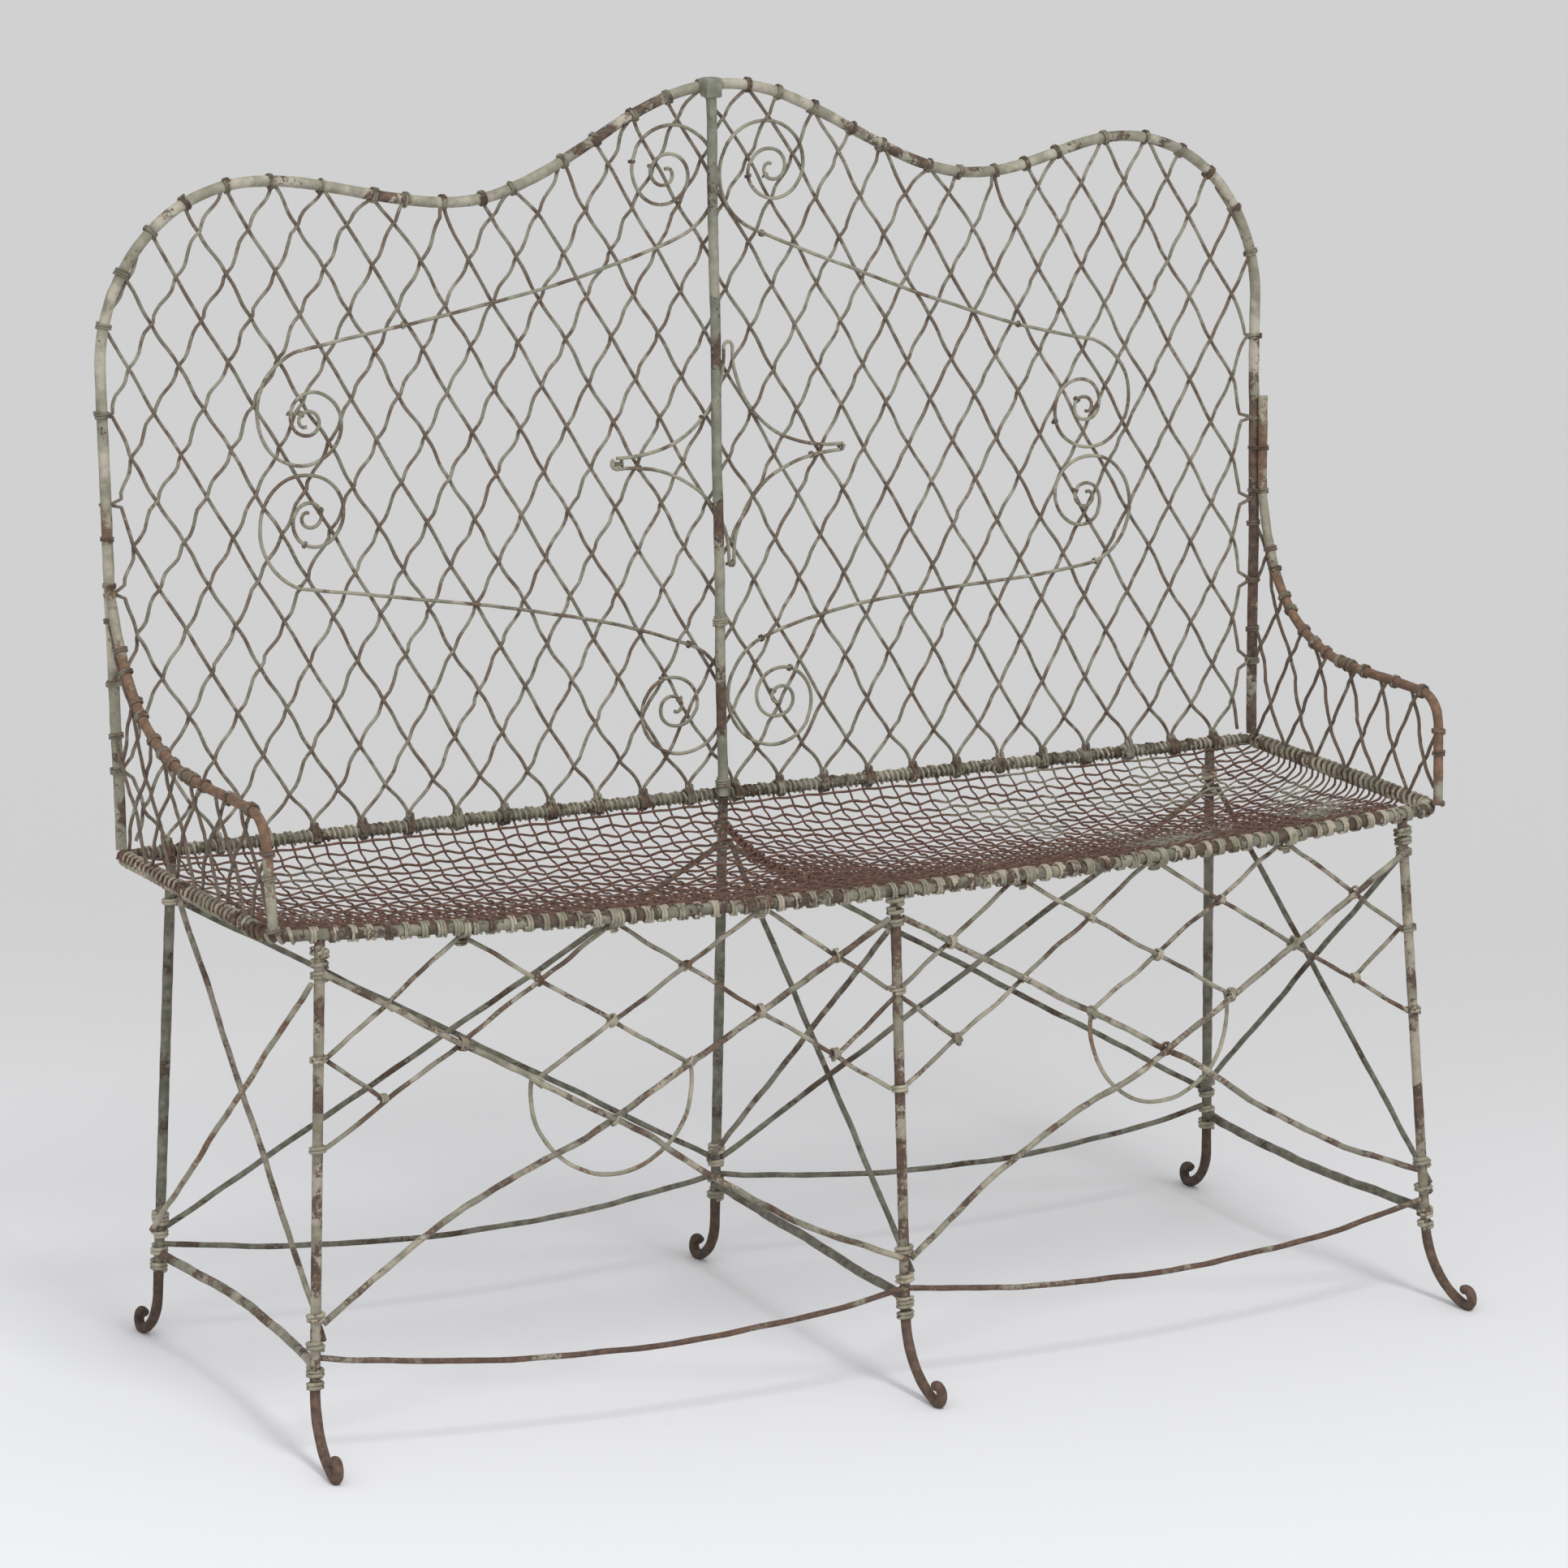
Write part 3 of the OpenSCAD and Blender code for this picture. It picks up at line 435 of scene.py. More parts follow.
def add_node(tree: bpy.types.NodeTree, kind: str, settings: dict | None = None,
             links: dict | None = None) -> bpy.types.Node:
    """Adds one node with its settings and links.

    Args:
        tree: The tree that the node joins.
        kind: The node's type.
        settings: Values of its sockets, by name or number, or of its properties.
        links: Output sockets that feed its inputs, by name or number.

    Returns:
        The new node.
    """
    node = tree.nodes.new(kind)
    late = {}
    for key, value in (settings or {}).items():
        if isinstance(key, str) and hasattr(node, key):
            setattr(node, key, value)
        else:
            late[key] = value
    for key, value in late.items():
        node.inputs[key].default_value = value
    for key, source in (links or {}).items():
        tree.links.new(source, node.inputs[key])
    return node


@dataclass(frozen=True)
class Weathered:
    """Oil paint brushed over wrought iron, chipped and rusted out of doors.

    The paint lies in two coats, the older one showing where the newer has chalked away, and
    iron oxide shows in chips that cluster in patches. Paint gives the eye a dull eggshell
    sheen, and rust a dry brown grain.
    """

    name: str
    slot: str
    coat: str
    older: str
    rust_dark: str
    rust_light: str
    chalk: str = "#c9c4b2"
    dirt: str = "#4d4638"
    # Shares: what the paint covers, and what its older coat has of that
    cover: float = 0.62
    older_share: float = 0.4
    # How strong chalk and dirt are, and how soft the chips' edges
    chalking: float = 0.22
    grime: float = 0.35
    soft: float = 0.02
    # Real widths of what the eye sees
    patch_mm: float = 45.0
    chip_mm: float = 5.0
    grain_mm: float = 1.1
    chalk_mm: float = 9.0
    dirt_mm: float = 14.0
    oxide_mm: float = 6.0
    # Whether the feet are rusty, and the heights where that starts and is full
    foot_rust: bool = False
    foot_from_mm: float = 75.0
    foot_to_mm: float = 30.0
    rust_rough: float = 0.88
    paint_rough: float = 0.64
    bump_mm: float = 0.6

    def material(self) -> bpy.types.Material:
        """Returns the finish's material, made on its first use."""
        return bpy.data.materials.get(self.name) or self.make()

    def make(self) -> bpy.types.Material:
        """Builds the material's nodes.

        Returns:
            The new material.
        """
        made = bpy.data.materials.new(self.name)
        made.use_nodes = True
        tree = made.node_tree
        tree.nodes.clear()
        place = add_node(tree, "ShaderNodeTexCoord").outputs["Object"]

        def noise(size_mm: float, shift: float, detail: float = 3.0,
                  roughness: float = 0.55) -> Socket:
            """Adds a noise.

            Args:
                size_mm: About how wide its features are.
                shift: Moves it, so that no two noises match.
                detail: How many finer layers it has.
                roughness: How strong the finer layers are.

            Returns:
                Its output, from 0 to 1.
            """
            moved = add_node(tree, "ShaderNodeMapping", {"Location": (shift, shift * 1.7, 0.3)},
                             {"Vector": place})
            return add_node(tree, "ShaderNodeTexNoise", {
                "Scale": 1 / (size_mm * MM), "Detail": detail, "Roughness": roughness},
                {"Vector": moved.outputs[0]}).outputs[0]

        def maths(operation: str, a: object, b: object) -> Socket:
            """Adds one sum.

            Args:
                operation: The sum's name.
                a: First socket or number.
                b: Second socket or number.

            Returns:
                Its result.
            """
            step = add_node(tree, "ShaderNodeMath", {"operation": operation})
            for i, value in enumerate((a, b)):
                if isinstance(value, Socket):
                    tree.links.new(value, step.inputs[i])
                else:
                    step.inputs[i].default_value = value
            return step.outputs[0]

        def stepped(value: Socket, low: float, high: float) -> Socket:
            """Returns 0 below low and 1 above high, with a smooth step between."""
            ends = {"interpolation_type": "SMOOTHSTEP", 1: low, 2: high}
            return add_node(tree, "ShaderNodeMapRange", ends, {0: value}).outputs[0]

        def blend(share: Socket, a: object, b: object,
                  way: str = "MIX") -> Socket:
            """Blends two colours.

            Args:
                share: Share of the second one.
                a: First socket or colour.
                b: Second socket or colour.
                way: Blend type of the mix.

            Returns:
                The blend.
            """
            mix = add_node(tree, "ShaderNodeMix", {"data_type": "RGBA", "blend_type": way})
            for i, value in ((0, share), (6, a), (7, b)):
                if isinstance(value, Socket):
                    tree.links.new(value, mix.inputs[i])
                else:
                    mix.inputs[i].default_value = value
            return mix.outputs[2]

        patch = noise(self.patch_mm, 0.0, 2.0)
        chip = noise(self.chip_mm, 3.1, 6.0, 0.74)
        grain = noise(self.grain_mm, 5.7, 3.0, 0.7)
        bare = add_node(tree, "ShaderNodeAttribute", {"attribute_name": "bare"}).outputs["Fac"]
        wear = maths("ADD", maths("MULTIPLY", patch, 0.62), maths("MULTIPLY", chip, 0.38))
        wear = maths("SUBTRACT", wear, maths("MULTIPLY", bare, 0.34))
        if self.foot_rust:
            height = add_node(tree, "ShaderNodeSeparateXYZ", None, {0: place}).outputs["Z"]
            low = stepped(height, self.foot_from_mm * MM, self.foot_to_mm * MM)
            wear = maths("SUBTRACT", wear, maths("MULTIPLY", low, 0.5))
        edge = 0.5 + (0.5 - self.cover) * 0.42
        paint = stepped(wear, edge - self.soft, edge + self.soft)
        coat_mask = stepped(noise(self.patch_mm * 1.6, 8.3, 4.0, 0.6),
                            0.36 + 0.28 * self.older_share, 0.46 + 0.28 * self.older_share)
        coats = blend(coat_mask, colour(self.older), colour(self.coat))
        chalk = stepped(noise(self.chalk_mm, 11.9, 4.0), 0.3, 0.75)
        coats = blend(maths("MULTIPLY", chalk, self.chalking), coats, colour(self.chalk))
        grimy = stepped(noise(self.dirt_mm, 14.2, 5.0, 0.7), 0.42, 0.75)
        coats = blend(maths("MULTIPLY", grimy, self.grime), coats, colour(self.dirt))
        oxide = blend(stepped(noise(self.oxide_mm, 17.0, 4.0), 0.35, 0.7),
                      colour(self.rust_dark), colour(self.rust_light))
        oxide = blend(maths("MULTIPLY", grain, 0.5), oxide, colour(self.rust_dark))
        skin = blend(paint, oxide, coats)
        height = maths("ADD", maths("MULTIPLY", paint, 0.6), maths("MULTIPLY", grain, 0.35))
        height = maths("ADD", height, maths("MULTIPLY", chip, 0.5))
        bump = add_node(tree, "ShaderNodeBump",
                        {"Strength": 0.55, "Distance": self.bump_mm * MM}, {"Height": height})
        gloss = maths("SUBTRACT", self.rust_rough,
                      maths("MULTIPLY", paint, self.rust_rough - self.paint_rough))
        shader = add_node(tree, "ShaderNodeBsdfPrincipled", {"IOR": 1.5, "Metallic": 0.0},
                          {"Base Color": skin, "Roughness": gloss, "Normal": bump.outputs[0]})
        add_node(tree, "ShaderNodeOutputMaterial", None, {"Surface": shader.outputs[0]})
        return made


FRAME_PAINT = Weathered(
    "Chalked cream and sage oil paint on wrought iron rod", "painted_iron",
    coat="#a9a392", older="#827f6e", rust_dark="#4c4037", rust_light="#765f50",
    cover=0.66, patch_mm=38, chip_mm=4)
LEG_PAINT = Weathered(
    "Chalked cream oil paint on wrought iron leg", "painted_iron",
    coat="#968d7c", older="#766f5d", rust_dark="#4b3d34", rust_light="#705848",
    cover=0.54, patch_mm=34, chip_mm=4,
    foot_rust=True)
# Darker than the frame's paint: partly the seat rods' own worn paint, partly painted shade so that
# the rod reads dark in the gaps between its binding turns
SHADED_RAIL_PAINT = Weathered(
    "Worn sage oil paint on wrought iron seat rod", "painted_iron",
    coat="#7d7868", older="#636152", rust_dark="#43382f", rust_light="#655243",
    cover=0.52, patch_mm=30, chip_mm=4)
POST_PAINT = Weathered(
    "Chalked sage oil paint on wrought iron rod", "green_painted_iron",
    coat="#8a8878", older="#6d7161", rust_dark="#4a3c33", rust_light="#705a4b",
    cover=0.64, patch_mm=44, chip_mm=4)
GREEN_PAINT = Weathered(
    "Weathered dark green oil paint on wrought iron rod", "green_painted_iron",
    coat="#5a594a", older="#4a493c", rust_dark="#3d3229", rust_light="#5b493b",
    cover=0.64, patch_mm=48, chip_mm=4,
    foot_rust=True)
APRON_PAINT = Weathered(
    "Chalked cream oil paint on drawn iron wire", "painted_iron",
    coat="#968e7d", older="#747161", rust_dark="#4a3d34", rust_light="#776051",
    cover=0.56, patch_mm=30, chip_mm=3,
    soft=0.035)
LATTICE_PAINT = Weathered(
    "Worn sage oil paint on woven iron wire", "lattice_wire",
    coat="#868272", older="#716d5e", rust_dark="#5f5348", rust_light="#7b6959",
    cover=0.56, patch_mm=17, chip_mm=3,
    soft=0.06)
SCROLL_PAINT = Weathered(
    "Chalked sage oil paint on bent iron wire", "lattice_wire",
    coat="#918d7b", older="#777765", rust_dark="#5b4d42", rust_light="#776555",
    cover=0.6, patch_mm=26, chip_mm=3,
    soft=0.04)
MESH_RUST = Weathered(
    "Rusted drawn iron seat wire with traces of paint", "mesh_wire",
    coat="#7f7768", older="#676352", rust_dark="#523d34", rust_light="#785648",
    cover=0.45, patch_mm=60, chip_mm=4, soft=0.05)
ARM_RUST = Weathered(
    "Brown rust on bent iron rod with traces of paint", "rusted_iron",
    coat="#a09884", older="#84816f", rust_dark="#64503f", rust_light="#8c6a54",
    cover=0.6, patch_mm=34, chip_mm=3, soft=0.03)
STRETCHER_RUST = Weathered(
    "Rusted bent iron wire with chipped cream paint", "rusted_iron",
    coat="#8d8575", older="#6f6755", rust_dark="#4f3f36", rust_light="#705747",
    cover=0.33, patch_mm=46, chip_mm=4, soft=0.03)
BINDING_PAINT = Weathered(
    "Thick cream oil paint on binding wire", "tie_wire",
    coat="#a59c89", older="#807b68", rust_dark="#4b3c32", rust_light="#715a49",
    cover=0.64, patch_mm=24, chip_mm=3)
TIE_RUST = Weathered(
    "Worn tie wire with traces of sage paint", "tie_wire",
    coat="#817a69", older="#696655", rust_dark="#4b3e35", rust_light="#6f5a4a",
    cover=0.5, patch_mm=18, chip_mm=3, soft=0.04)


# The bench's own sizes


@dataclass(frozen=True)
class Sizes:
    """Sizes of the bench in millimetres, as in the part's source."""

    seat_h: float = 430.0
    seat_w: float = 1120.0
    seat_d: float = 305.0
    front_bow: float = 40.0
    front_drop: float = 7.0
    corner_r: float = 26.0
    dish: float = 42.0
    stile_spread: float = 6.0
    crest_h: float = 557.0
    crest_x: float = 424.0
    shoulder_h: float = 151.0
    dip_h: float = 531.0
    dip_x: float = 257.0
    hump_h: float = 620.0
    hump_shift: float = 22.0
    recline: float = 4.3
    cells_across: int = 25
    cell_h: float = 74.0
    back_y: float = 197.384
    rod_d: float = 9.5
    leg_d: float = 9.0
    lattice_d: float = 3.2
    scroll_d: float = 3.2
    post_x: float = 5.0
    # Clear space between two layers of wire
    gap: float = 0.3
    # How far out the lattice's face is from its layers, as a share of its wire
    face_share: float = 0.45
    # Angle round the stile at which an arm rod lies against it
    arm_turn: float = 61.0
    # How far below the top curve a wire ends for each millimetre square to it
    top_slope: float = 1.07
    shortest_wire: float = 15.0

    @property
    def rod_r(self) -> float:
        """Radius of the frame rods."""
        return self.rod_d / 2

    @property
    def front_y(self) -> float:
        """Y of the front corners."""
        return self.back_y - self.seat_d

    @property
    def spring_h(self) -> float:
        """Height at which the shoulders start to curve."""
        return self.crest_h - self.shoulder_h

    @property
    def shoulder_w(self) -> float:
        """Width of a shoulder's quarter curve."""
        return self.seat_w / 2 + self.stile_spread - self.crest_x

    @property
    def arm_side(self) -> float:
        """How far outside the stile's line the top of an arm rod lies."""
        return (self.rod_d + self.gap) * math.cos(rad(self.arm_turn))

    @property
    def arm_front(self) -> float:
        """How far in front of the stile's line the top of an arm rod lies."""
        return (self.rod_d + self.gap) * math.sin(rad(self.arm_turn))

    @property
    def scroll_out(self) -> float:
        """How far in front of the back's plane the scrolls lie, against the lattice."""
        face = self.lattice_d / 2 + self.lattice_d * self.face_share
        return face + self.scroll_d / 2 + self.gap

    @property
    def post_out(self) -> float:
        """How far in front of the back's plane the post lies, against the scrolls."""
        return self.scroll_out + self.scroll_d / 2 + self.leg_d / 2 + self.gap

    @property
    def wire_numbers(self) -> range:
        """Numbers of the lattice wires that may cross the back, 0 just right of the middle."""
        return range(-self.cells_across - 1, self.cells_across + 2)

    @property
    def cell_w(self) -> float:
        """Width of one diamond of the back."""
        return (self.seat_w + self.stile_spread) / self.cells_across

    @property
    def run(self) -> float:
        """Sideways run of a lattice wire for each millimetre up."""
        return self.cell_w / self.cell_h

    @property
    def corner_x(self) -> float:
        """X of the right side rod."""
        return self.seat_w / 2

    @property
    def back_normal(self) -> Vector:
        """Direction straight out of the front of the back."""
        return Vector((0, -math.cos(rad(self.recline)), math.sin(rad(self.recline))))

    def on_back(self, x: float, v: float, out: float = 0.0) -> Vector:
        """Returns a point of the back's own plane.

        Args:
            x: Distance right of the middle.
            v: Height above the rear rod, along the back.
            out: Distance out of the plane, to the front.

        Returns:
            The point.
        """
        c, s = math.cos(rad(self.recline)), math.sin(rad(self.recline))
        return Vector((x, self.back_y + v * s - out * c, self.seat_h + v * c + out * s))

    def stile_x(self, v: float) -> float:
        """Half the width of the back at a height on its straight sides."""
        return self.seat_w / 2 + self.stile_spread * min(1.0, v / self.spring_h)

    def rim_top(self, x: float) -> float:
        """Finds the height of the rim's top curve.

        Args:
            x: Distance right of the middle.

        Returns:
            Its height along the back.
        """
        def half_wave(a: float, b: float, t: float) -> float:
            """Eases from a to b."""
            return a + (b - a) * (1 - math.cos(math.pi * t)) / 2

        left, right = self.hump_shift - self.dip_x, self.hump_shift + self.dip_x
        if abs(x) >= self.crest_x:
            inside = max(0.0, 1 - ((abs(x) - self.crest_x) / self.shoulder_w) ** 2)
            return self.spring_h + self.shoulder_h * math.sqrt(inside)
        if x < left:
            return half_wave(self.crest_h, self.dip_h, (x + self.crest_x) / (left + self.crest_x))
        if x < self.hump_shift:
            return half_wave(self.dip_h, self.hump_h, (x - left) / self.dip_x)
        if x < right:
            return half_wave(self.hump_h, self.dip_h, (x - self.hump_shift) / self.dip_x)
        return half_wave(self.dip_h, self.crest_h, (x - right) / (self.crest_x - right))

    def rim_outline(self) -> list[Pair]:
        """Lays out the rim's middle line.

        Returns:
            Its points as (x, v) from the left seat corner to the right one.
        """
        stile = [(self.stile_x(v), v) for v in even(self.rod_r + 2 * self.gap, self.spring_h, 90)]
        curve = [(self.crest_x + self.shoulder_w * math.cos(rad(a)),
                  self.spring_h + self.shoulder_h * math.sin(rad(a))) for a in range(2, 90, 2)]
        half = stile + curve
        top = [(x, self.rim_top(x)) for x in even(-self.crest_x, self.crest_x, 241)]
        return [(-x, v) for x, v in half] + top + half[::-1]

    def inside_back(self, x: float, v: float, c: float) -> bool:
        """Tells whether a point lies inside the rim.

        Args:
            x: Distance right of the middle.
            v: Height along the back.
            c: How far inside the rim's middle line it has to be.

        Returns:
            True where it is.
        """
        if v <= c:
            return False
        if v < self.spring_h:
            return abs(x) < self.stile_x(v) - c
        if abs(x) > self.crest_x:
            across = ((abs(x) - self.crest_x) / (self.shoulder_w - c)) ** 2
            return across + ((v - self.spring_h) / (self.shoulder_h - c)) ** 2 < 1
        return v < self.rim_top(x) - self.top_slope * c

    def wire_span(self, x0: float, run: float, c: float) -> Pair | None:
        """Finds where a lattice wire enters and leaves the rim.

        Args:
            x0: Its x at the rear rod.
            run: Its sideways run for each millimetre up.
            c: How far inside the rim it stays.

        Returns:
            The heights of its two ends, or None where it misses the back.
        """
        step = 0.5
        hits = [v for v in np.arange(0, self.hump_h + 2, step)
                if self.inside_back(x0 + run * v, v, c)]
        if len(hits) * step <= self.shortest_wire:
            return None
        return float(hits[0]), float(hits[-1])

    def front_rod(self, x: float) -> Vector:
        """Finds a point of the front seat rod, or of a front corner.

        Args:
            x: Distance right of the middle.

        Returns:
            The point.
        """
        end = self.corner_x - self.corner_r
        if abs(x) > end:
            bend = math.sqrt(max(0.0, self.corner_r**2 - (abs(x) - end) ** 2))
            return Vector((x, self.front_y + self.corner_r - bend, self.seat_h))
        bow = Vector((0, -self.front_bow, -self.front_drop))
        depth = bow.length
        r = (end * end + depth * depth) / (2 * depth)
        at = math.sqrt(r * r - x * x) - (r - depth)
        return Vector((x, self.front_y, self.seat_h)) + at * bow / depth


S = Sizes()


# The back


WireEnd = tuple[Weave, int, int]


@dataclass
class RimTies:
    """Where the lattice is tied to the rim: a rising and a falling wire share each tie."""

    # How far apart two wires that share a tie may end, and the lowest tie
    reach: float = 25.0
    lowest: float = 12.0
    own: dict[WireEnd, float] = field(default_factory=dict)
    tied: dict[WireEnd, float] = field(default_factory=dict)
    places: list[float] = field(default_factory=list)

    def __post_init__(self) -> None:
        """Finds where each wire meets the rim and pairs the nearest ends of the two sets."""
        self.line = np.array(S.rim_outline())
        steps = np.linalg.norm(np.diff(self.line, axis=0), axis=1)
        self.run = np.concatenate([[0], np.cumsum(steps)])
        for weave in Weave:
            for k in S.wire_numbers:
                x0 = (k + 0.5) * S.cell_w
                span = S.wire_span(x0, weave.value * S.run, 0.0) or ()
                for last, v in enumerate(span):
                    if v > self.lowest:
                        away = ((self.line - (x0 + weave.value * S.run * v, v)) ** 2).sum(1)
                        self.own[weave, k, last] = float(self.run[int(np.argmin(away))])
        pairs = [(abs(self.own[a] - self.own[b]), a, b) for a in self.own for b in self.own
                 if a[0] is Weave.RISING and b[0] is Weave.FALLING]
        free = dict(self.own)
        for gap, a, b in sorted(pairs, key=lambda pair: pair[0]):
            if gap < self.reach and a in free and b in free:
                self.tied[a] = self.tied[b] = (free.pop(a) + free.pop(b)) / 2
                self.places.append(self.tied[a])
        self.tied.update(free)
        self.places += free.values()

    def flat(self, at: float) -> Pair:
        """Returns the rim's (x, v) at a length along it."""
        return (float(np.interp(at, self.run, self.line[:, 0])),
                float(np.interp(at, self.run, self.line[:, 1])))

    def shift(self, end: WireEnd) -> Vector:
        """Returns how far a wire's end is pulled along the rim to its tie."""
        return S.on_back(*self.flat(self.tied[end])) - S.on_back(*self.flat(self.own[end]))


@dataclass
class Back:
    """Rim, post, clip and the wire turns that hold the lattice to them."""

    ties: RimTies
    wrap_d: float = 2.3
    knot_d: float = 3.2
    # Beside the arm's rod there is only room for thin turns
    beside_x: float = 540.0
    beside_v: Pair = (215.0, 322.0)
    thin_d: float = 1.5
    # How far a turn strays along its rod
    stray: float = 1.5
    # Rounding of the clip's edges
    clip_round: float = 1.6

    def build(self) -> None:
        """Builds every piece of the back's frame."""
        self.rim()
        self.post()
        self.clip()
        self.rim_wraps()
        self.rail_knots()

    def rim(self) -> None:
        """The one rod that goes up, over and down again."""
        def worn(places: np.ndarray) -> np.ndarray:
            """Most bare metal on the lower part of the right stile."""
            right = np.clip((places[:, 0] - 0.5) / 0.03, 0, 1)
            return 0.5 * right * np.clip((0.8 - places[:, 2]) / 0.08, 0, 1)

        path = [S.on_back(x, v) for x, v in S.rim_outline()]
        Bundle("rim_rod", FRAME_PAINT, ("back_rim_rod",), sides=16, seed=11).add(
            path, S.rod_d, step=4.0, bend=0.5, wave=260, rough=0.025).build(worn=worn)

    def post(self) -> None:
        """The post in front of the lattice."""
        top = S.on_back(S.post_x, S.rim_top(S.post_x) - 1, S.post_out)
        foot = S.on_back(S.post_x, 0, S.post_out)
        Bundle("post", POST_PAINT, ("centre_post",), sides=14, seed=12).add(
            [top, foot], S.leg_d, step=5.0, bend=0.4, wave=200, rough=0.03).build()

    def clip(self) -> None:
        """The square collar at the top of the post, bent from strip and worn round."""
        low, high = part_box("post_top_clip")
        middle, size = (low + high) / 2, high - low
        bpy.ops.object.select_all(action="DESELECT")
        bpy.ops.mesh.primitive_cube_add(size=1, location=middle)
        obj = bpy.context.object
        obj.name = "post_clip"
        obj.scale = size
        bpy.ops.object.transform_apply(location=True, rotation=True, scale=True)
        bpy.ops.object.mode_set(mode="EDIT")
        bpy.ops.mesh.bevel(offset=self.clip_round * MM, segments=3)
        bpy.ops.mesh.subdivide(number_cuts=1)
        bpy.ops.object.mode_set(mode="OBJECT")
        settle(obj, POST_PAINT, ("post_top_clip",))

    def rim_wraps(self) -> None:
        """The turns that each pair of lattice wires takes round the rim."""
        bundle = Bundle("rim_wraps", TIE_RUST, ("back_rim_ties",), sides=8, seed=21)
        dice = random.Random(4)
        for at in sorted(self.ties.places):
            at += dice.uniform(-self.stray, self.stray)
            along = S.on_back(*self.ties.flat(at + 3)) - S.on_back(*self.ties.flat(at - 3))
            x, v = self.ties.flat(at)
            beside_arm = abs(x) > self.beside_x and self.beside_v[0] < v < self.beside_v[1]
            wire = self.thin_d if beside_arm else self.wrap_d * dice.uniform(0.94, 1.08)
            core = S.rod_d - (0.4 if beside_arm else 0.0)
            turns = dice.choice((1.6, 2.1, 2.4))
            bundle.wrap(S.on_back(x, v), along, core, wire, turns, dice, rough=0.06)
        bundle.build()

    def rail_knots(self) -> None:
        """Heavy turns of lattice wire round the rear seat rod, one lot at each diamond."""
        bundle = Bundle("rail_knots", TIE_RUST, ("back_rail_ties",), sides=8, seed=22)
        dice = random.Random(9)
        half = (S.cells_across - 1) // 2
        for k in range(-half, half):
            x = (k + 0.5) * S.cell_w + dice.uniform(-self.stray, self.stray)
            bundle.wrap(Vector((x, S.back_y, S.seat_h)), ACROSS + 0.12 * UP, S.rod_d + 0.8,
                        self.knot_d, dice.choice((1.9, 2.3, 2.7)), dice, rough=0.09)
            # The two wire ends come off the knot and go up into the lattice
            for lean in (-1, 1):
                foot = S.on_back(x + lean * 1.8, -4, S.rod_r + 1.8)
                top = S.on_back((k + 0.5) * S.cell_w + lean * 1.6, 11, lean * 1.4)
                middle = S.on_back(x + lean * 1.7, 4.5, S.rod_r + 0.6)
                bundle.add([foot, middle, top], self.knot_d, step=2.0)
        bundle.build()


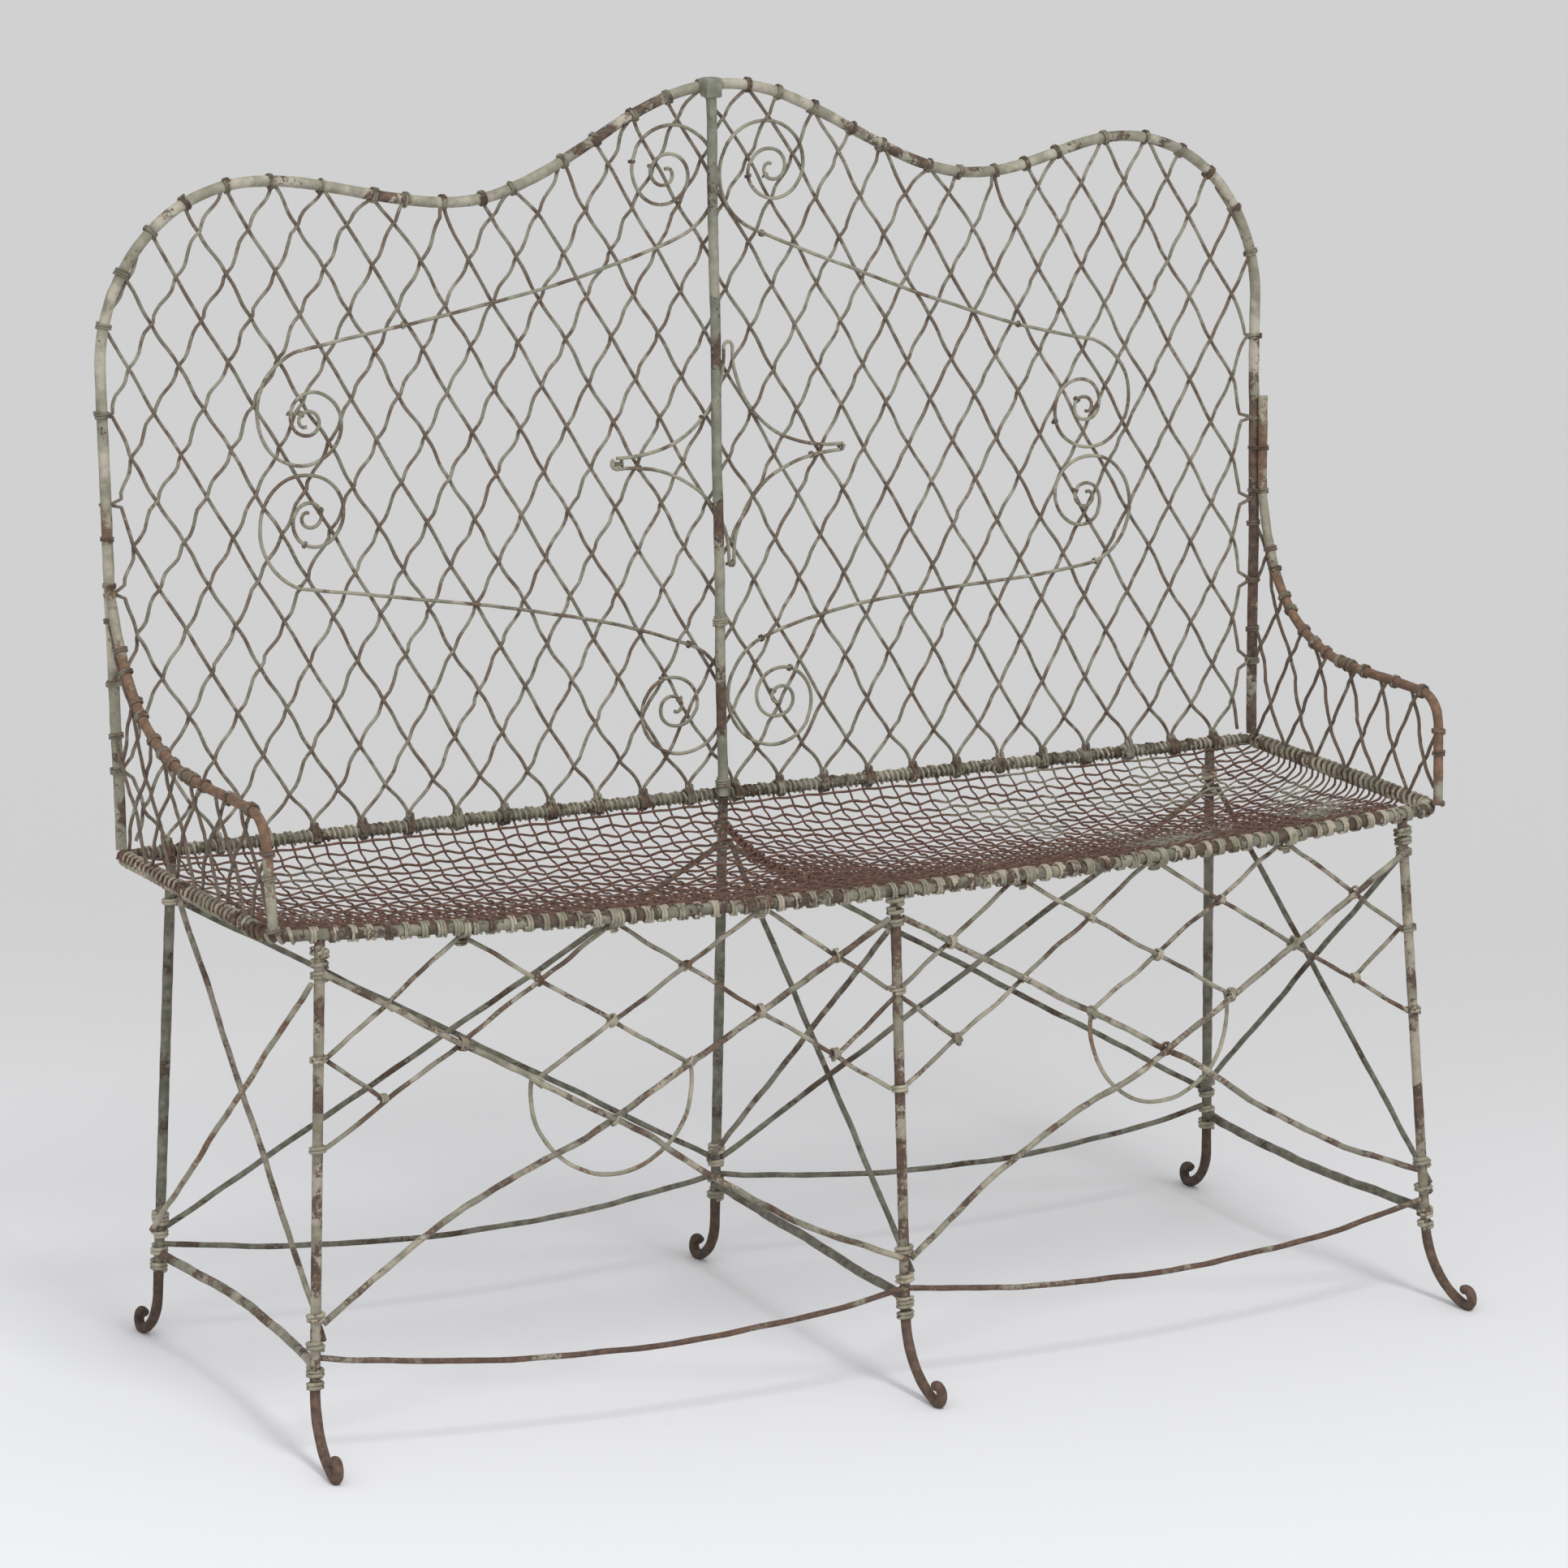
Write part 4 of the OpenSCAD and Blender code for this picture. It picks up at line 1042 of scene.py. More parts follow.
@dataclass
class BackLattice:
    """Two sets of crimped wires woven over and under each other inside the rim."""

    ties: RimTies
    wire: float = S.lattice_d
    layer: float = S.lattice_d / 2
    steps: int = 8
    # Length over which a wire bends aside to its tie, and how sharply
    pull: float = 34.0
    pull_power: float = 1.4
    # Heights where the two wires of a knot start to part and have parted
    part_from: float = 9.0
    part_to: float = 34.0
    # How far a wire swings to each side between two crossings
    swing: dict[Weave, float] = field(
        default_factory=lambda: {Weave.RISING: 2.1, Weave.FALLING: 0.8})
    # Its share at the middle, how that changes to the ends, and over what distance
    swing_share: float = 0.8
    swing_change: float = 0.28
    swing_reach: float = 220.0
    # How far inside the straight sides the outermost crossings lie
    gather: float = 13.0
    gather_fade: float = 60.0
    # How near a crossing the paint is worn, in rows, and how much
    worn_reach: float = 0.2
    worn_share: float = 0.32

    def build(self) -> None:
        """Builds both sets."""
        self.weave(Weave.RISING, "rising_lattice", "back_lattice_rising_wires")
        self.weave(Weave.FALLING, "falling_lattice", "back_lattice_falling_wires")

    def draw_in(self, x: float, v: float) -> float:
        """Draws a wire in from the straight side, so that its last crossing is clear of it.

        Args:
            x: Where the wire would be.
            v: Its height there.

        Returns:
            Where it is.
        """
        edge = S.stile_x(v)
        room = edge - abs(x)
        reach = S.cell_w / 2
        gather = self.gather * min(1.0, max(0.0, (S.spring_h - v) / self.gather_fade))
        if room > reach or gather == 0:
            return x
        moved = gather + room * (reach - gather) / reach
        return math.copysign(edge - moved, x)

    def path(self, weave: Weave, k: int) -> Path | None:
        """Returns one wire's middle line.

        Args:
            weave: Which set it belongs to.
            k: Its number, counted from the middle.

        Returns:
            The points, or None where the wire misses the back.
        """
        way = weave.value
        x0 = (k + 0.5) * S.cell_w
        span = S.wire_span(x0, way * S.run, S.rod_r * 0.7)
        if not span:
            return None
        row = S.cell_h / 2
        dice = random.Random(k * 7 + way)
        swing = self.swing[weave] * dice.uniform(0.75, 1.2)
        if weave is Weave.FALLING and k % 2:
            swing = 0.0
        # The wires wave most at the left end of the back
        middle = x0 + way * S.run * (span[0] + span[1]) / 2
        swing *= self.swing_share - self.swing_change * math.tanh(middle / self.swing_reach)
        lean = math.hypot(1, S.run)
        count = max(4, round((span[1] - span[0]) / row * self.steps))
        from_rail = abs(x0) < S.corner_x - 2
        points = []
        for n in range(count + 1):
            v = span[0] + (span[1] - span[0]) * n / count
            j = v / row
            side = swing * math.sin(2 * math.pi * j) * (1 if int(j) % 2 else -1)
            out = way * self.layer * math.cos(math.pi * j)
            run = S.run * v
            if from_rail and v < self.part_to:
                # Two wires come off each knot of the rear rod side by side, and then part
                parted = max(0.0, (v - self.part_from) / (self.part_to - self.part_from))
                run = max(self.wire / 2, run * parted**0.8)
            x = self.draw_in(x0 + way * run, v)
            points.append(S.on_back(x + side / lean, v - way * side * S.run / lean, out))
        for last in (0, 1):
            if (weave, k, last) in self.ties.tied:
                self.tie_end(points, (weave, k, last))
        return points

    def tie_end(self, points: Path, end: WireEnd) -> None:
        """Bends a wire's end to its tie on the rim.

        Args:
            points: The wire's points, which are changed.
            end: Which end of which wire it is.
        """
        x, v = self.ties.flat(self.ties.tied[end])
        order = range(len(points)) if end[2] == 0 else range(len(points) - 1, -1, -1)
        if abs(x) > S.crest_x + 60 and v < S.spring_h:
            # On a straight side it turns out to the rod just past the last crossing
            tip = S.on_back(math.copysign(S.stile_x(v) - 3, x), v, 1.2)
            points.insert(0 if end[2] == 0 else len(points), tip)
            return
        shift, run, before = self.ties.shift(end), 0.0, points[order[0]]
        for i in order:
            run += (points[i] - before).length
            before = points[i]
            if run > self.pull:
                break
            points[i] = points[i] + shift * (1 - run / self.pull) ** self.pull_power

    def weave(self, weave: Weave, name: str, node: str) -> None:
        """Builds one set, rustier where its wires cross the others.

        Args:
            weave: Which set.
            name: The piece's name.
            node: The CAD node that it stands for.
        """
        bundle = Bundle(name, LATTICE_PAINT, (node,), sides=8, seed=40 + weave.value)
        for k in S.wire_numbers:
            path = self.path(weave, k)
            if path:
                bundle.add(path, self.wire, bend=0.5, wave=150, rough=0.05)

        def near_crossing(places: np.ndarray) -> np.ndarray:
            """Finds where the paint is worn, by the height on the lattice.

            Args:
                places: Points in metres.

            Returns:
                The share of bare metal at each point.
            """
            c = math.cos(rad(S.recline))
            j = (places[:, 2] / MM - S.seat_h) / c / (S.cell_h / 2)
            off = np.abs(j - np.round(j))
            return np.clip(1 - off / self.worn_reach, 0, 1) * self.worn_share

        bundle.build(worn=near_crossing)


@dataclass
class ScrollWork:
    """Four scroll wires and the hollow-sided star that lie on the lattice."""

    wire: float = S.scroll_d
    knot_d: float = 1.5
    # The inner spirals are set out from the scrolls' own line, the outer ones from x = 0
    inner_x: float = 53.0
    outer_x: float = 381.0
    scroll_line: float = 14.0
    # Heights of the inner and outer spirals, and how far the outer ones skew
    upper_v: Pair = (547.0, 334.0)
    lower_v: Pair = (80.0, 256.0)
    skew: float = 18.0
    # Points of each spiral
    fineness: int = 130
    # Radius at angles along the wire, from the inner eye out and in to the outer eye
    inner_turns: Pairs = (
        (-250, 2.5), (-200, 6.5), (-140, 10), (-60, 12), (30, 13), (100, 15), (160, 21),
        (200, 25), (270, 28), (360, 30), (450, 39), (540, 52), (618, 58))
    outer_turns: Pairs = (
        (80, 62), (0, 45), (-90, 34), (-180, 31), (-270, 27), (-345, 15.5), (-430, 10.5),
        (-540, 10.5), (-630, 10.5), (-700, 9), (-745, 6), (-790, 2.5))
    star_x: float = 111.0
    star_h: float = 95.0
    star_line: float = 21.0
    star_mid_h: float = 298.0
    # Half widths of its tips, from the left one on round over the top
    tips: tuple[float, float, float, float] = (4.8, 4.4, 2.6, 2.2)
    # How far its sides stay from its middle, as a share of its tips' distance
    hollow: float = 0.42

    def build(self) -> None:
        """Builds the four scrolls, the star and the knots that tie them."""
        knots: list[tuple[Vector, Vector]] = []
        for side, upper in ((Side.LEFT, True), (Side.RIGHT, True), (Side.LEFT, False),
                            (Side.RIGHT, False)):
            name = f"{'upper' if upper else 'lower'}_{side.name.lower()}_scroll"
            path = self.scroll(side, upper)
            Bundle(name + "_wire", SCROLL_PAINT, (name,), sides=10, seed=60 + side.value).add(
                path, self.wire, step=3.0, bend=0.35, wave=110, rough=0.04).build()
            knots += self.places(path, count=6, seed=side.value * 3 + upper)
        path = self.star()
        Bundle("star_wire", SCROLL_PAINT, ("centre_star",), sides=10, seed=66).add(
            path, self.wire, step=3.0, bend=0.4, wave=90, rough=0.04).build()
        knots += self.places(path, count=5, seed=5)
        left = S.on_back(self.star_line - self.star_x + 1, self.star_mid_h, S.scroll_out)
        right = S.on_back(self.star_line + self.star_x - 1, self.star_mid_h, S.scroll_out)
        low = S.on_back(self.star_line, self.star_mid_h - self.star_h + 1, S.scroll_out)
        knots += [(left, UP), (left + Vector((4, 0, 0)), ACROSS), (right, ACROSS), (low, UP)]
        bundle = Bundle("scroll_knots", TIE_RUST, (), sides=6, seed=70)
        for i, (at, along) in enumerate(knots):
            turns = 1.4 + 0.5 * (i % 3)
            bundle.add(collar(at, along, self.wire + 0.6, self.knot_d, turns, seed=i,
                              start=40.0 * i), self.knot_d, rough=0.08)
        bundle.build()

    def places(self, path: Path, count: int, seed: int) -> list[tuple[Vector, Vector]]:
        """Picks places along a wire for its knots.

        Args:
            path: The wire's points.
            count: How many knots it has.
            seed: Seed of the places.

        Returns:
            The place and direction of each knot.
        """
        dice = random.Random(seed)
        made = []
        for n in range(count):
            share = (n + dice.uniform(0.2, 0.8)) / count
            i = min(len(path) - 2, max(1, round(share * len(path))))
            back = S.back_normal * 1.2
            made.append((path[i] - back, path[i + 1] - path[i - 1]))
        return made

    def spiral_points(self, span_u: float, rise_w: float) -> list[Pair]:
        """Lays out a scroll's line: u outwards from the post and w towards the middle.

        Args:
            span_u: How far out the outer spiral's centre lies from the inner one's.
            rise_w: How far towards the middle it lies.

        Returns:
            The points as (u, w) from the inner eye to the outer one.
        """
        def spiral(turns: Pairs, centre: np.ndarray) -> list[np.ndarray]:
            """Eases a spiral's radius from each given turn to the next.

            Args:
                turns: Its radius at each angle.
                centre: Its centre.

            Returns:
                Its points.
            """
            angles = np.array([turn[0] for turn in turns], float)
            radii = np.array([turn[1] for turn in turns])
            way = 1 if angles[-1] > angles[0] else -1
            fine = np.array(even(float(angles[0]), float(angles[-1]), self.fineness * 4))
            plain = np.interp(way * fine, way * angles, radii)
            width = self.fineness // 7
            padded = np.pad(plain, width, mode="reflect", reflect_type="odd")
            soft = np.convolve(padded, np.ones(2 * width + 1) / (2 * width + 1), "valid")
            return [centre + r * np.array([math.cos(rad(t)), math.sin(rad(t))])
                    for t, r in list(zip(fine, soft))[::4]]

        inner = spiral(self.inner_turns, np.zeros(2))
        outer = spiral(self.outer_turns, np.array([span_u, rise_w]))
        a, b = inner[-1], outer[0]
        reach = 0.3 * float(np.linalg.norm(b - a))
        joint = [bezier(a, a + reach * np.array([0.93, -0.37]),
                        b - reach * np.array([0.985, -0.17]), b, t)
                 for t in even(0.02, 0.98, 60)]
        return [tuple(p) for p in inner + joint + outer]

    def scroll(self, side: Side, upper: bool) -> Path:
        """Lays out the middle line of one scroll.

        Args:
            side: Which side of the post it is on.
            upper: Whether it is the upper one.

        Returns:
            Its points.
        """
        level = 1 if upper else -1
        inner_v, outer_v = self.upper_v if upper else self.lower_v
        outer_v -= side.value * self.skew
        span_u = self.outer_x - side.value * self.scroll_line - self.inner_x
        points = self.spiral_points(span_u, level * (outer_v - inner_v))
        return [S.on_back(self.scroll_line + side.value * (self.inner_x + u),
                          inner_v + level * w, S.scroll_out) for u, w in points]

    def star(self) -> Path:
        """Lays out the star, which closes in a loop at its left tip.

        Returns:
            The points of its middle line.
        """
        x, h = self.star_x, self.star_h
        left, top, right, low = self.tips
        corners = (((-x, left), (-top, h), top), ((top, h), (x, right), right),
                   ((x, -right), (low, -h), low), ((-low, -h), (-x, -left), left))
        points = []
        for a, b, t in corners:
            a, b = np.array(a), np.array(b)
            points += [bezier(a, a * self.hollow, b * self.hollow, b, s)
                       for s in even(0, 1, 26)]
            way = b / np.linalg.norm(b)
            side = np.array([-way[1], way[0]]) * -t
            # The wire turns back at each tip in a small round bend
            middle = b + side
            points += [middle - side * math.cos(rad(n)) + way * t * math.sin(rad(n))
                       for n in (30, 60, 90, 120, 150)]
        return [S.on_back(self.star_line + p[0], self.star_mid_h + p[1], S.scroll_out)
                for p in points]


# The seat


@dataclass
class Seat:
    """Seat rods, the wire mesh sunk between them and the turns that bind its edge."""

    net_d: float = 2.3
    row_pitch: float = 10.6
    column_pitch: float = 15.0
    ridge_w: float = 90.0
    ridge_share: float = 0.22
    steep_rear: float = 0.68
    crimp: float = 1.1
    # How far the short wires' ends rise over the front and rear rods
    end_lift: float = 4.2
    # Share of the depth at which the front corners start
    corner_s: float = 0.86
    # How the long wires end: distance out past the side rod, and height
    hooks: Pairs = (
        (-5.5, 3.4), (-0.5, 6.6), (4.6, 4.4), (6.6, -1.2))
    ridge_d: float = 5.0
    ridge_drop: float = 4.2
    # Wires that bind the front, the sides and the rear, and the pitch of their turns
    bind_d: float = 2.73
    rope_d: float = 3.4
    rope_pitch: float = 8.6
    rear_d: float = 2.3
    rear_pitch: float = 5.2

    def __post_init__(self) -> None:
        """Lays the rows out evenly along the mesh's own curve."""
        fine = np.array(even(0, 1, 801))
        line = np.array([self.at(280, s)[:] for s in fine])
        run = np.concatenate([[0], np.cumsum(np.linalg.norm(np.diff(line, axis=0), axis=1))])
        count = round(run[-1] / self.row_pitch)
        self.rows = [float(np.interp(run[-1] * j / count, run, fine)) for j in range(1, count)]
        self.fine, self.run, self.count = fine, run, count
        half = int((S.corner_x - 8) / self.column_pitch)
        self.columns = [k * self.column_pitch for k in range(-half, half + 1)]

    def at(self, x: float, s: float, lift: float = 0.0) -> Vector:
        """Returns a point of the mesh.

        Args:
            x: Distance right of the middle.
            s: 0 at the rear rod and 1 at the front rod.
            lift: Height above the mesh's own surface.

        Returns:
            The point.
        """
        front = S.front_rod(x)
        ends = math.sqrt(max(0.0, 1 - (abs(x) / S.corner_x) ** 6))
        ridge = 1 - self.ridge_share * max(0.0, 1 - math.sqrt(x * x + 60) / self.ridge_w)
        sink = S.dish * ends * ridge * math.sin(math.pi * s**self.steep_rear)
        z = S.seat_h + (front.z - S.seat_h) * s - sink + lift
        return Vector((x, S.back_y - s * (S.back_y - front.y), z))

    def side_line(self, side: int, start_y: float, angles: range) -> Path:
        """Lays out a side rod and the front corner that it bends into.

        Args:
            side: -1 for the left one and 1 for the right one.
            start_y: Y of its rear end.
            angles: Angles of the points on the corner.

        Returns:
            The points of its middle line.
        """
        stop, y = S.corner_x - S.corner_r, S.front_y + S.corner_r
        return [Vector((side * S.corner_x, start_y, S.seat_h))] + [
            Vector((side * (stop + S.corner_r * math.cos(rad(a))),
                    y - S.corner_r * math.sin(rad(a)), S.seat_h)) for a in angles]

    def build(self) -> None:
        """Builds the rods, the mesh, the middle ridge and the edge."""
        self.rods()
        self.short_wires()
        self.long_wires()
        self.ridge()
        self.edge()

    def rods(self) -> None:
        """The four rods round the seat."""
        end = S.corner_x - S.rod_r - S.gap
        rear = [Vector((x, S.back_y, S.seat_h)) for x in (-end, end)]
        Bundle("rear_seat_rod", GREEN_PAINT, ("seat_back_rail",), sides=14, seed=81).add(
            rear, S.rod_d, step=5.0, bend=0.3, wave=240, rough=0.03).build()
        stop = S.corner_x - S.corner_r
        front = [S.front_rod(x) for x in even(-stop, stop, 160)]
        # The front and side seat rods take a finish that is darkened partly as painted shade
        # between the binding turns
        Bundle("front_seat_rod", SHADED_RAIL_PAINT, ("seat_front_rail",), sides=14, seed=82).add(
            front, S.rod_d, step=5.0, bend=0.3, wave=240, rough=0.03).build()
        for side, name in ((-1, "left"), (1, "right")):
            path = self.side_line(side, S.back_y, range(0, 89, 4))
            Bundle(f"{name}_seat_rod", SHADED_RAIL_PAINT, (f"seat_{name}_rail",), sides=14, seed=83).add(
                path, S.rod_d, step=4.0, bend=0.2, wave=200, rough=0.03).build()

    def rusty(self, places: np.ndarray) -> np.ndarray:
        """Finds the share of bare metal on the mesh: most at the middle and the front.

        Args:
            places: Points of the mesh in metres.

        Returns:
            The share at each point.
        """
        x, y = places[:, 0] / MM, places[:, 1] / MM
        front = np.clip((20 - y) / 120, 0, 1)
        middle = np.exp(-((x + 20) / 150) ** 2)
        right = np.clip((x - 180) / 200, 0, 1)
        return np.clip(0.25 + 0.5 * np.maximum(front, middle) - 0.55 * right * (1 - front), 0, 1)

    def short_wires(self) -> None:
        """Wires from back to front, waved over and under the long ones."""
        bundle = Bundle("seat_short_wires", MESH_RUST, ("seat_mesh_short_wires",), sides=5, seed=90)
        for i, x0 in enumerate(self.columns):
            wave = Drift(i * 13 + 5, 170)
            points = []
            for n in range(4 * self.count + 1):
                j = n / 4
                s = float(np.interp(self.run[-1] * j / self.count, self.run, self.fine))
                edge = max(0.0, 1 - abs(j / self.count - 0.5) * 2)
                x = x0 + min(1.0, 4 * edge) * (1.1 * wave(j * 13) + 0.3 * math.sin(math.pi * j + i))
                lift = self.crimp * math.cos(math.pi * (j + i))
                if n in (0, 4 * self.count):
                    lift += self.end_lift
                points.append(self.at(x, s, lift))
            bundle.add(points, self.net_d, rough=0.06)
        bundle.build(worn=self.rusty)

    def long_wires(self) -> None:
        """Wires along the seat, waved under and over the short ones."""
        bundle = Bundle("seat_long_wires", MESH_RUST, ("seat_mesh_long_wires",), sides=5, seed=91)
        end, depth = S.corner_x - 2, S.seat_d + S.front_bow
        for row, s in enumerate(self.rows, 1):
            reach = end if s < self.corner_s else S.corner_x - S.corner_r * 0.55
            count = int(2 * reach / self.column_pitch * 4)
            wave = Drift(row * 29 + 3, 190)
            points = []
            for n in range(count + 1):
                x = -reach + 2 * reach * n / count
                k = x / self.column_pitch
                lift = -self.crimp * math.cos(math.pi * (k + row))
                edge = min(1.0, (reach - abs(x)) / 40)
                stray = 0.9 * wave(x) + 0.6 * math.sin(math.pi * (k + row * 0.5))
                points.append(self.at(x, s + edge * stray / depth, lift))
            # Each end goes over the side rod and hooks down outside it
            hook = self.hooks if s < self.corner_s else ()
            points = ([self.at(-S.corner_x - x, s, lift) for x, lift in hook[::-1]]
                      + points[1:-1] + [self.at(S.corner_x + x, s, lift) for x, lift in hook])
            bundle.add(points, self.net_d, rough=0.06)
        bundle.build(worn=self.rusty)

    def ridge(self) -> None:
        """The rod under the mesh in the middle, laced to it with wire."""
        first, last = 0.075, 0.955
        line = [self.at(0, s, -self.ridge_drop) for s in even(first, last, 60)]
        bundle = Bundle("seat_ridge", MESH_RUST, ("seat_middle_bearer",), sides=8, seed=95)
        bundle.add(line, self.ridge_d, step=5.0, bend=0.6, wave=80, rough=0.06)
        high = [p + 1.6 * UP for p in line]
        for core, wire, turns, start, loose, seed in ((4.8, 2.1, 30, 0, 0.25, 8),
                                                      (5.4, 2.0, 17, 90, 0.35, 15)):
            bundle.add(winding(high, core, wire, turns, start=start, loose=loose, seed=seed,
                               steps=9), wire, rough=0.08)
        bundle.build(worn=lambda places: np.full(len(places), 0.4))

    def edge(self) -> None:
        """Turns of mesh wire round all four seat rods."""
        bundle = Bundle("seat_edge_turns", BINDING_PAINT, ("seat_edge_binding",), sides=6, seed=99)
        dice = random.Random(12)
        for x in self.columns:
            if abs(x) < S.corner_x - S.corner_r - 2:
                along = S.front_rod(x + 2) - S.front_rod(x - 2)
                turns = dice.choice((1.8, 2.2, 2.7))
                bundle.wrap(S.front_rod(x + dice.uniform(-1.5, 1.5)), along, S.rod_d,
                            self.bind_d, turns, dice, rough=0.1)
                # The end of each binding wire stands off as a small nub below the rod
                foot = S.front_rod(x + 5) + Vector((0, -1.5, -S.rod_r - 0.2))
                tip = foot + Vector((dice.uniform(-1.5, 1.5), -dice.uniform(0, 1),
                                     -dice.uniform(0.4, 1.4)))
                bundle.add([foot + Vector((-2.5, 1.5, 1.2)), foot, tip], 3.2)
        rear = [Vector((x, S.back_y, S.seat_h)) for x in (12 - S.corner_x, S.corner_x - 12)]
        turns = (rear[1] - rear[0]).length / self.rear_pitch
        # The turns bite into the paint of the rear and side rods
        bundle.add(winding(rear, S.rod_d - 1.7, self.rear_d, turns, loose=0.2, seed=21,
                           steps=9), self.rear_d, rough=0.16)
        for side in (-1, 1):
            path = self.side_line(side, S.back_y - 9, range(0, 82, 6))
            turns = length_of(path) / self.rope_pitch
            bundle.add(winding(path, S.rod_d - 1.4, self.rope_d, turns, loose=0.08,
                               seed=3 + side, steps=14), self.rope_d, rough=0.1)
        bundle.build()


# The arms


@dataclass
class Arm:
    """One arm: its bent rod, its two sets of lattice wires and the turns that hold them."""

    side: Side
    start_h: float = 315.0
    leave_h: float = 225.0
    level_h: float = 98.0
    bend_r: float = 30.0
    rod_d: float = S.rod_d - 0.9
    # How far in from the stile's line and the seat's corner the rod lies
    inset: float = 0.8
    # How far behind the front corner its upright lies
    front_gap: float = 8.0
    # How far in front of the rear rod its sweep flattens and is level
    flat_from: float = 45.0
    flat_to: float = 155.0
    cell_w: float = 50.0
    cell_h: float = 84.0
    layer: float = S.lattice_d / 2
    shortest_wire: float = 12.0
    end_d: float = 2.5

    @property
    def name(self) -> str:
        """The side's name in the part's nodes."""
        return self.side.name.lower()

    def x_at(self, v: float) -> float:
        """Finds the distance of the arm's plane from the middle.

        Args:
            v: Height above the seat.

        Returns:
            The distance.
        """
        out = S.stile_x(self.leave_h) + S.arm_side
        if v > self.leave_h:
            return S.stile_x(v) + S.arm_side
        return S.corner_x + (out - S.corner_x) * v / self.leave_h

    def stile_y(self, v: float) -> float:
        """Y of the stile at a height."""
        return S.back_y + v * math.tan(rad(S.recline))

    def profile(self) -> list[Pair]:
        """Lays out the arm rod's line.

        Returns:
            Its points as (y, v) from its top to the front corner.
        """
        front = S.arm_front
        top = [(self.stile_y(v) - front, v) for v in even(self.start_h, self.leave_h, 12)]
        drop = self.leave_h - self.level_h
        a = np.array((self.stile_y(self.leave_h) - front, self.leave_h))
        b = np.array((S.back_y - front - 3, self.level_h + drop * 0.53))
        c = np.array((S.back_y - self.flat_from, self.level_h + 2))
        d = np.array((S.back_y - self.flat_to, self.level_h))
        sweep = [tuple(bezier(a, b, c, d, t)) for t in even(0.02, 1, 50)]
        bend_y = S.front_y + self.front_gap
        bend = [(bend_y + self.bend_r + self.bend_r * math.cos(rad(t)),
                 self.level_h - self.bend_r + self.bend_r * math.sin(rad(t)))
                for t in range(90, 181, 5)]
        return top + sweep + bend + [(S.front_y + 1, S.rod_r + S.gap)]

    def at(self, y: float, v: float, out: float = 0.0) -> Vector:
        """Returns a point of the arm's plane."""
        return Vector((self.side.value * (self.x_at(v) - self.inset + out), y, S.seat_h + v))

    def build(self) -> None:
        """Builds the arm's pieces."""
        line = self.profile()
        path = [self.at(y, v) for y, v in line]

        def worn(places: np.ndarray) -> np.ndarray:
            """Bares most metal where the hand rests and at the bends.

            Args:
                places: Points in metres.

            Returns:
                The share of bare metal at each point.
            """
            z = places[:, 2] / MM
            low = np.clip((S.seat_h + 185 - z) / 45, 0, 1)
            return 0.6 * low * np.clip((z - S.seat_h - 55) / 30, 0, 1)

        Bundle(f"{self.name}_arm", ARM_RUST, (f"{self.name}_arm_rod",), sides=14, seed=110).add(
            path, self.rod_d, step=3.5, bend=0.3, wave=160, rough=0.03).build(worn=worn)
        for weave in Weave:
            self.lattice(weave, line)

    def inside(self, y: float, v: float, c: float, line: np.ndarray) -> bool:
        """Tells whether a point lies between the side rod, the stile and the arm rod.

        Args:
            y: Its place from the front to the back.
            v: Its height above the seat.
            c: How far inside the rods it has to be.
            line: The arm rod's line as (y, v).

        Returns:
            True where it does.
        """
        if v < c or y < S.front_y + self.front_gap + c or y > self.stile_y(v) - c:
            return False
        return v < float(np.interp(y, line[:, 0], line[:, 1])) - c

    def lattice(self, weave: Weave, line: list[Pair]) -> None:
        """Builds one set of the arm's wires, crimped at each crossing.

        Args:
            weave: Which way its wires lean.
            line: The arm rod's line as (y, v).
        """
        way = weave.value
        table = np.array(sorted(p for p in line if p[1] < self.leave_h + 2))
        run = self.cell_w / self.cell_h
        node = f"{self.name}_arm_{weave.name.lower()}_wires"
        bundle = Bundle(f"{self.name}_arm_{weave.name.lower()}_lattice", LATTICE_PAINT, (node,),
                        sides=8, seed=120 + way)
        step = 0.5
        for k in range(-14, 24):
            y0 = S.front_y + k * self.cell_w
            span = [v for v in np.arange(0, self.leave_h + 15, step)
                    if self.inside(y0 + way * run * v, v, 2.0, table)]
            if len(span) * step < self.shortest_wire:
                continue
            count = max(6, round((span[-1] - span[0]) / 4))
            points = []
            for n in range(count + 1):
                v = span[0] + (span[-1] - span[0]) * n / count
                j = v / (self.cell_h / 2)
                out = way * self.layer * math.cos(math.pi * j)
                swing = self.layer * math.sin(2 * math.pi * j) * (1 if int(j) % 2 else -1)
                points.append(self.at(y0 + way * run * v + swing, v, out))
            bundle.add(points, S.lattice_d, bend=0.5, wave=70, rough=0.05)
            # Each end takes two turns round whichever rod it meets
            rods = np.array(line + [(y, 0.0) for y in even(S.front_y, S.back_y, 80)]
                            + [(self.stile_y(v), v) for v in even(5, self.leave_h, 60)])
            for end, y, v in ((points[0], y0 + way * run * span[0], span[0]),
                              (points[-1], y0 + way * run * span[-1], span[-1])):
                i = int(np.argmin(((rods - (y, v)) ** 2).sum(1)))
                i = min(i, len(rods) - 2)
                ahead = rods[i + 1] - rods[i]
                centre = self.at(float(rods[i][0]), float(rods[i][1]))
                if i >= len(line) + 80:
                    centre.x = self.side.value * S.stile_x(float(rods[i][1]))
                bundle.add(collar(centre, Vector((0, float(ahead[0]), float(ahead[1]))),
                                  S.rod_d - 1.2, self.end_d, 1.8, seed=k + 40, start=70),
                           self.end_d, rough=0.06)
        bundle.build(worn=lambda places: np.full(len(places), 0.35))


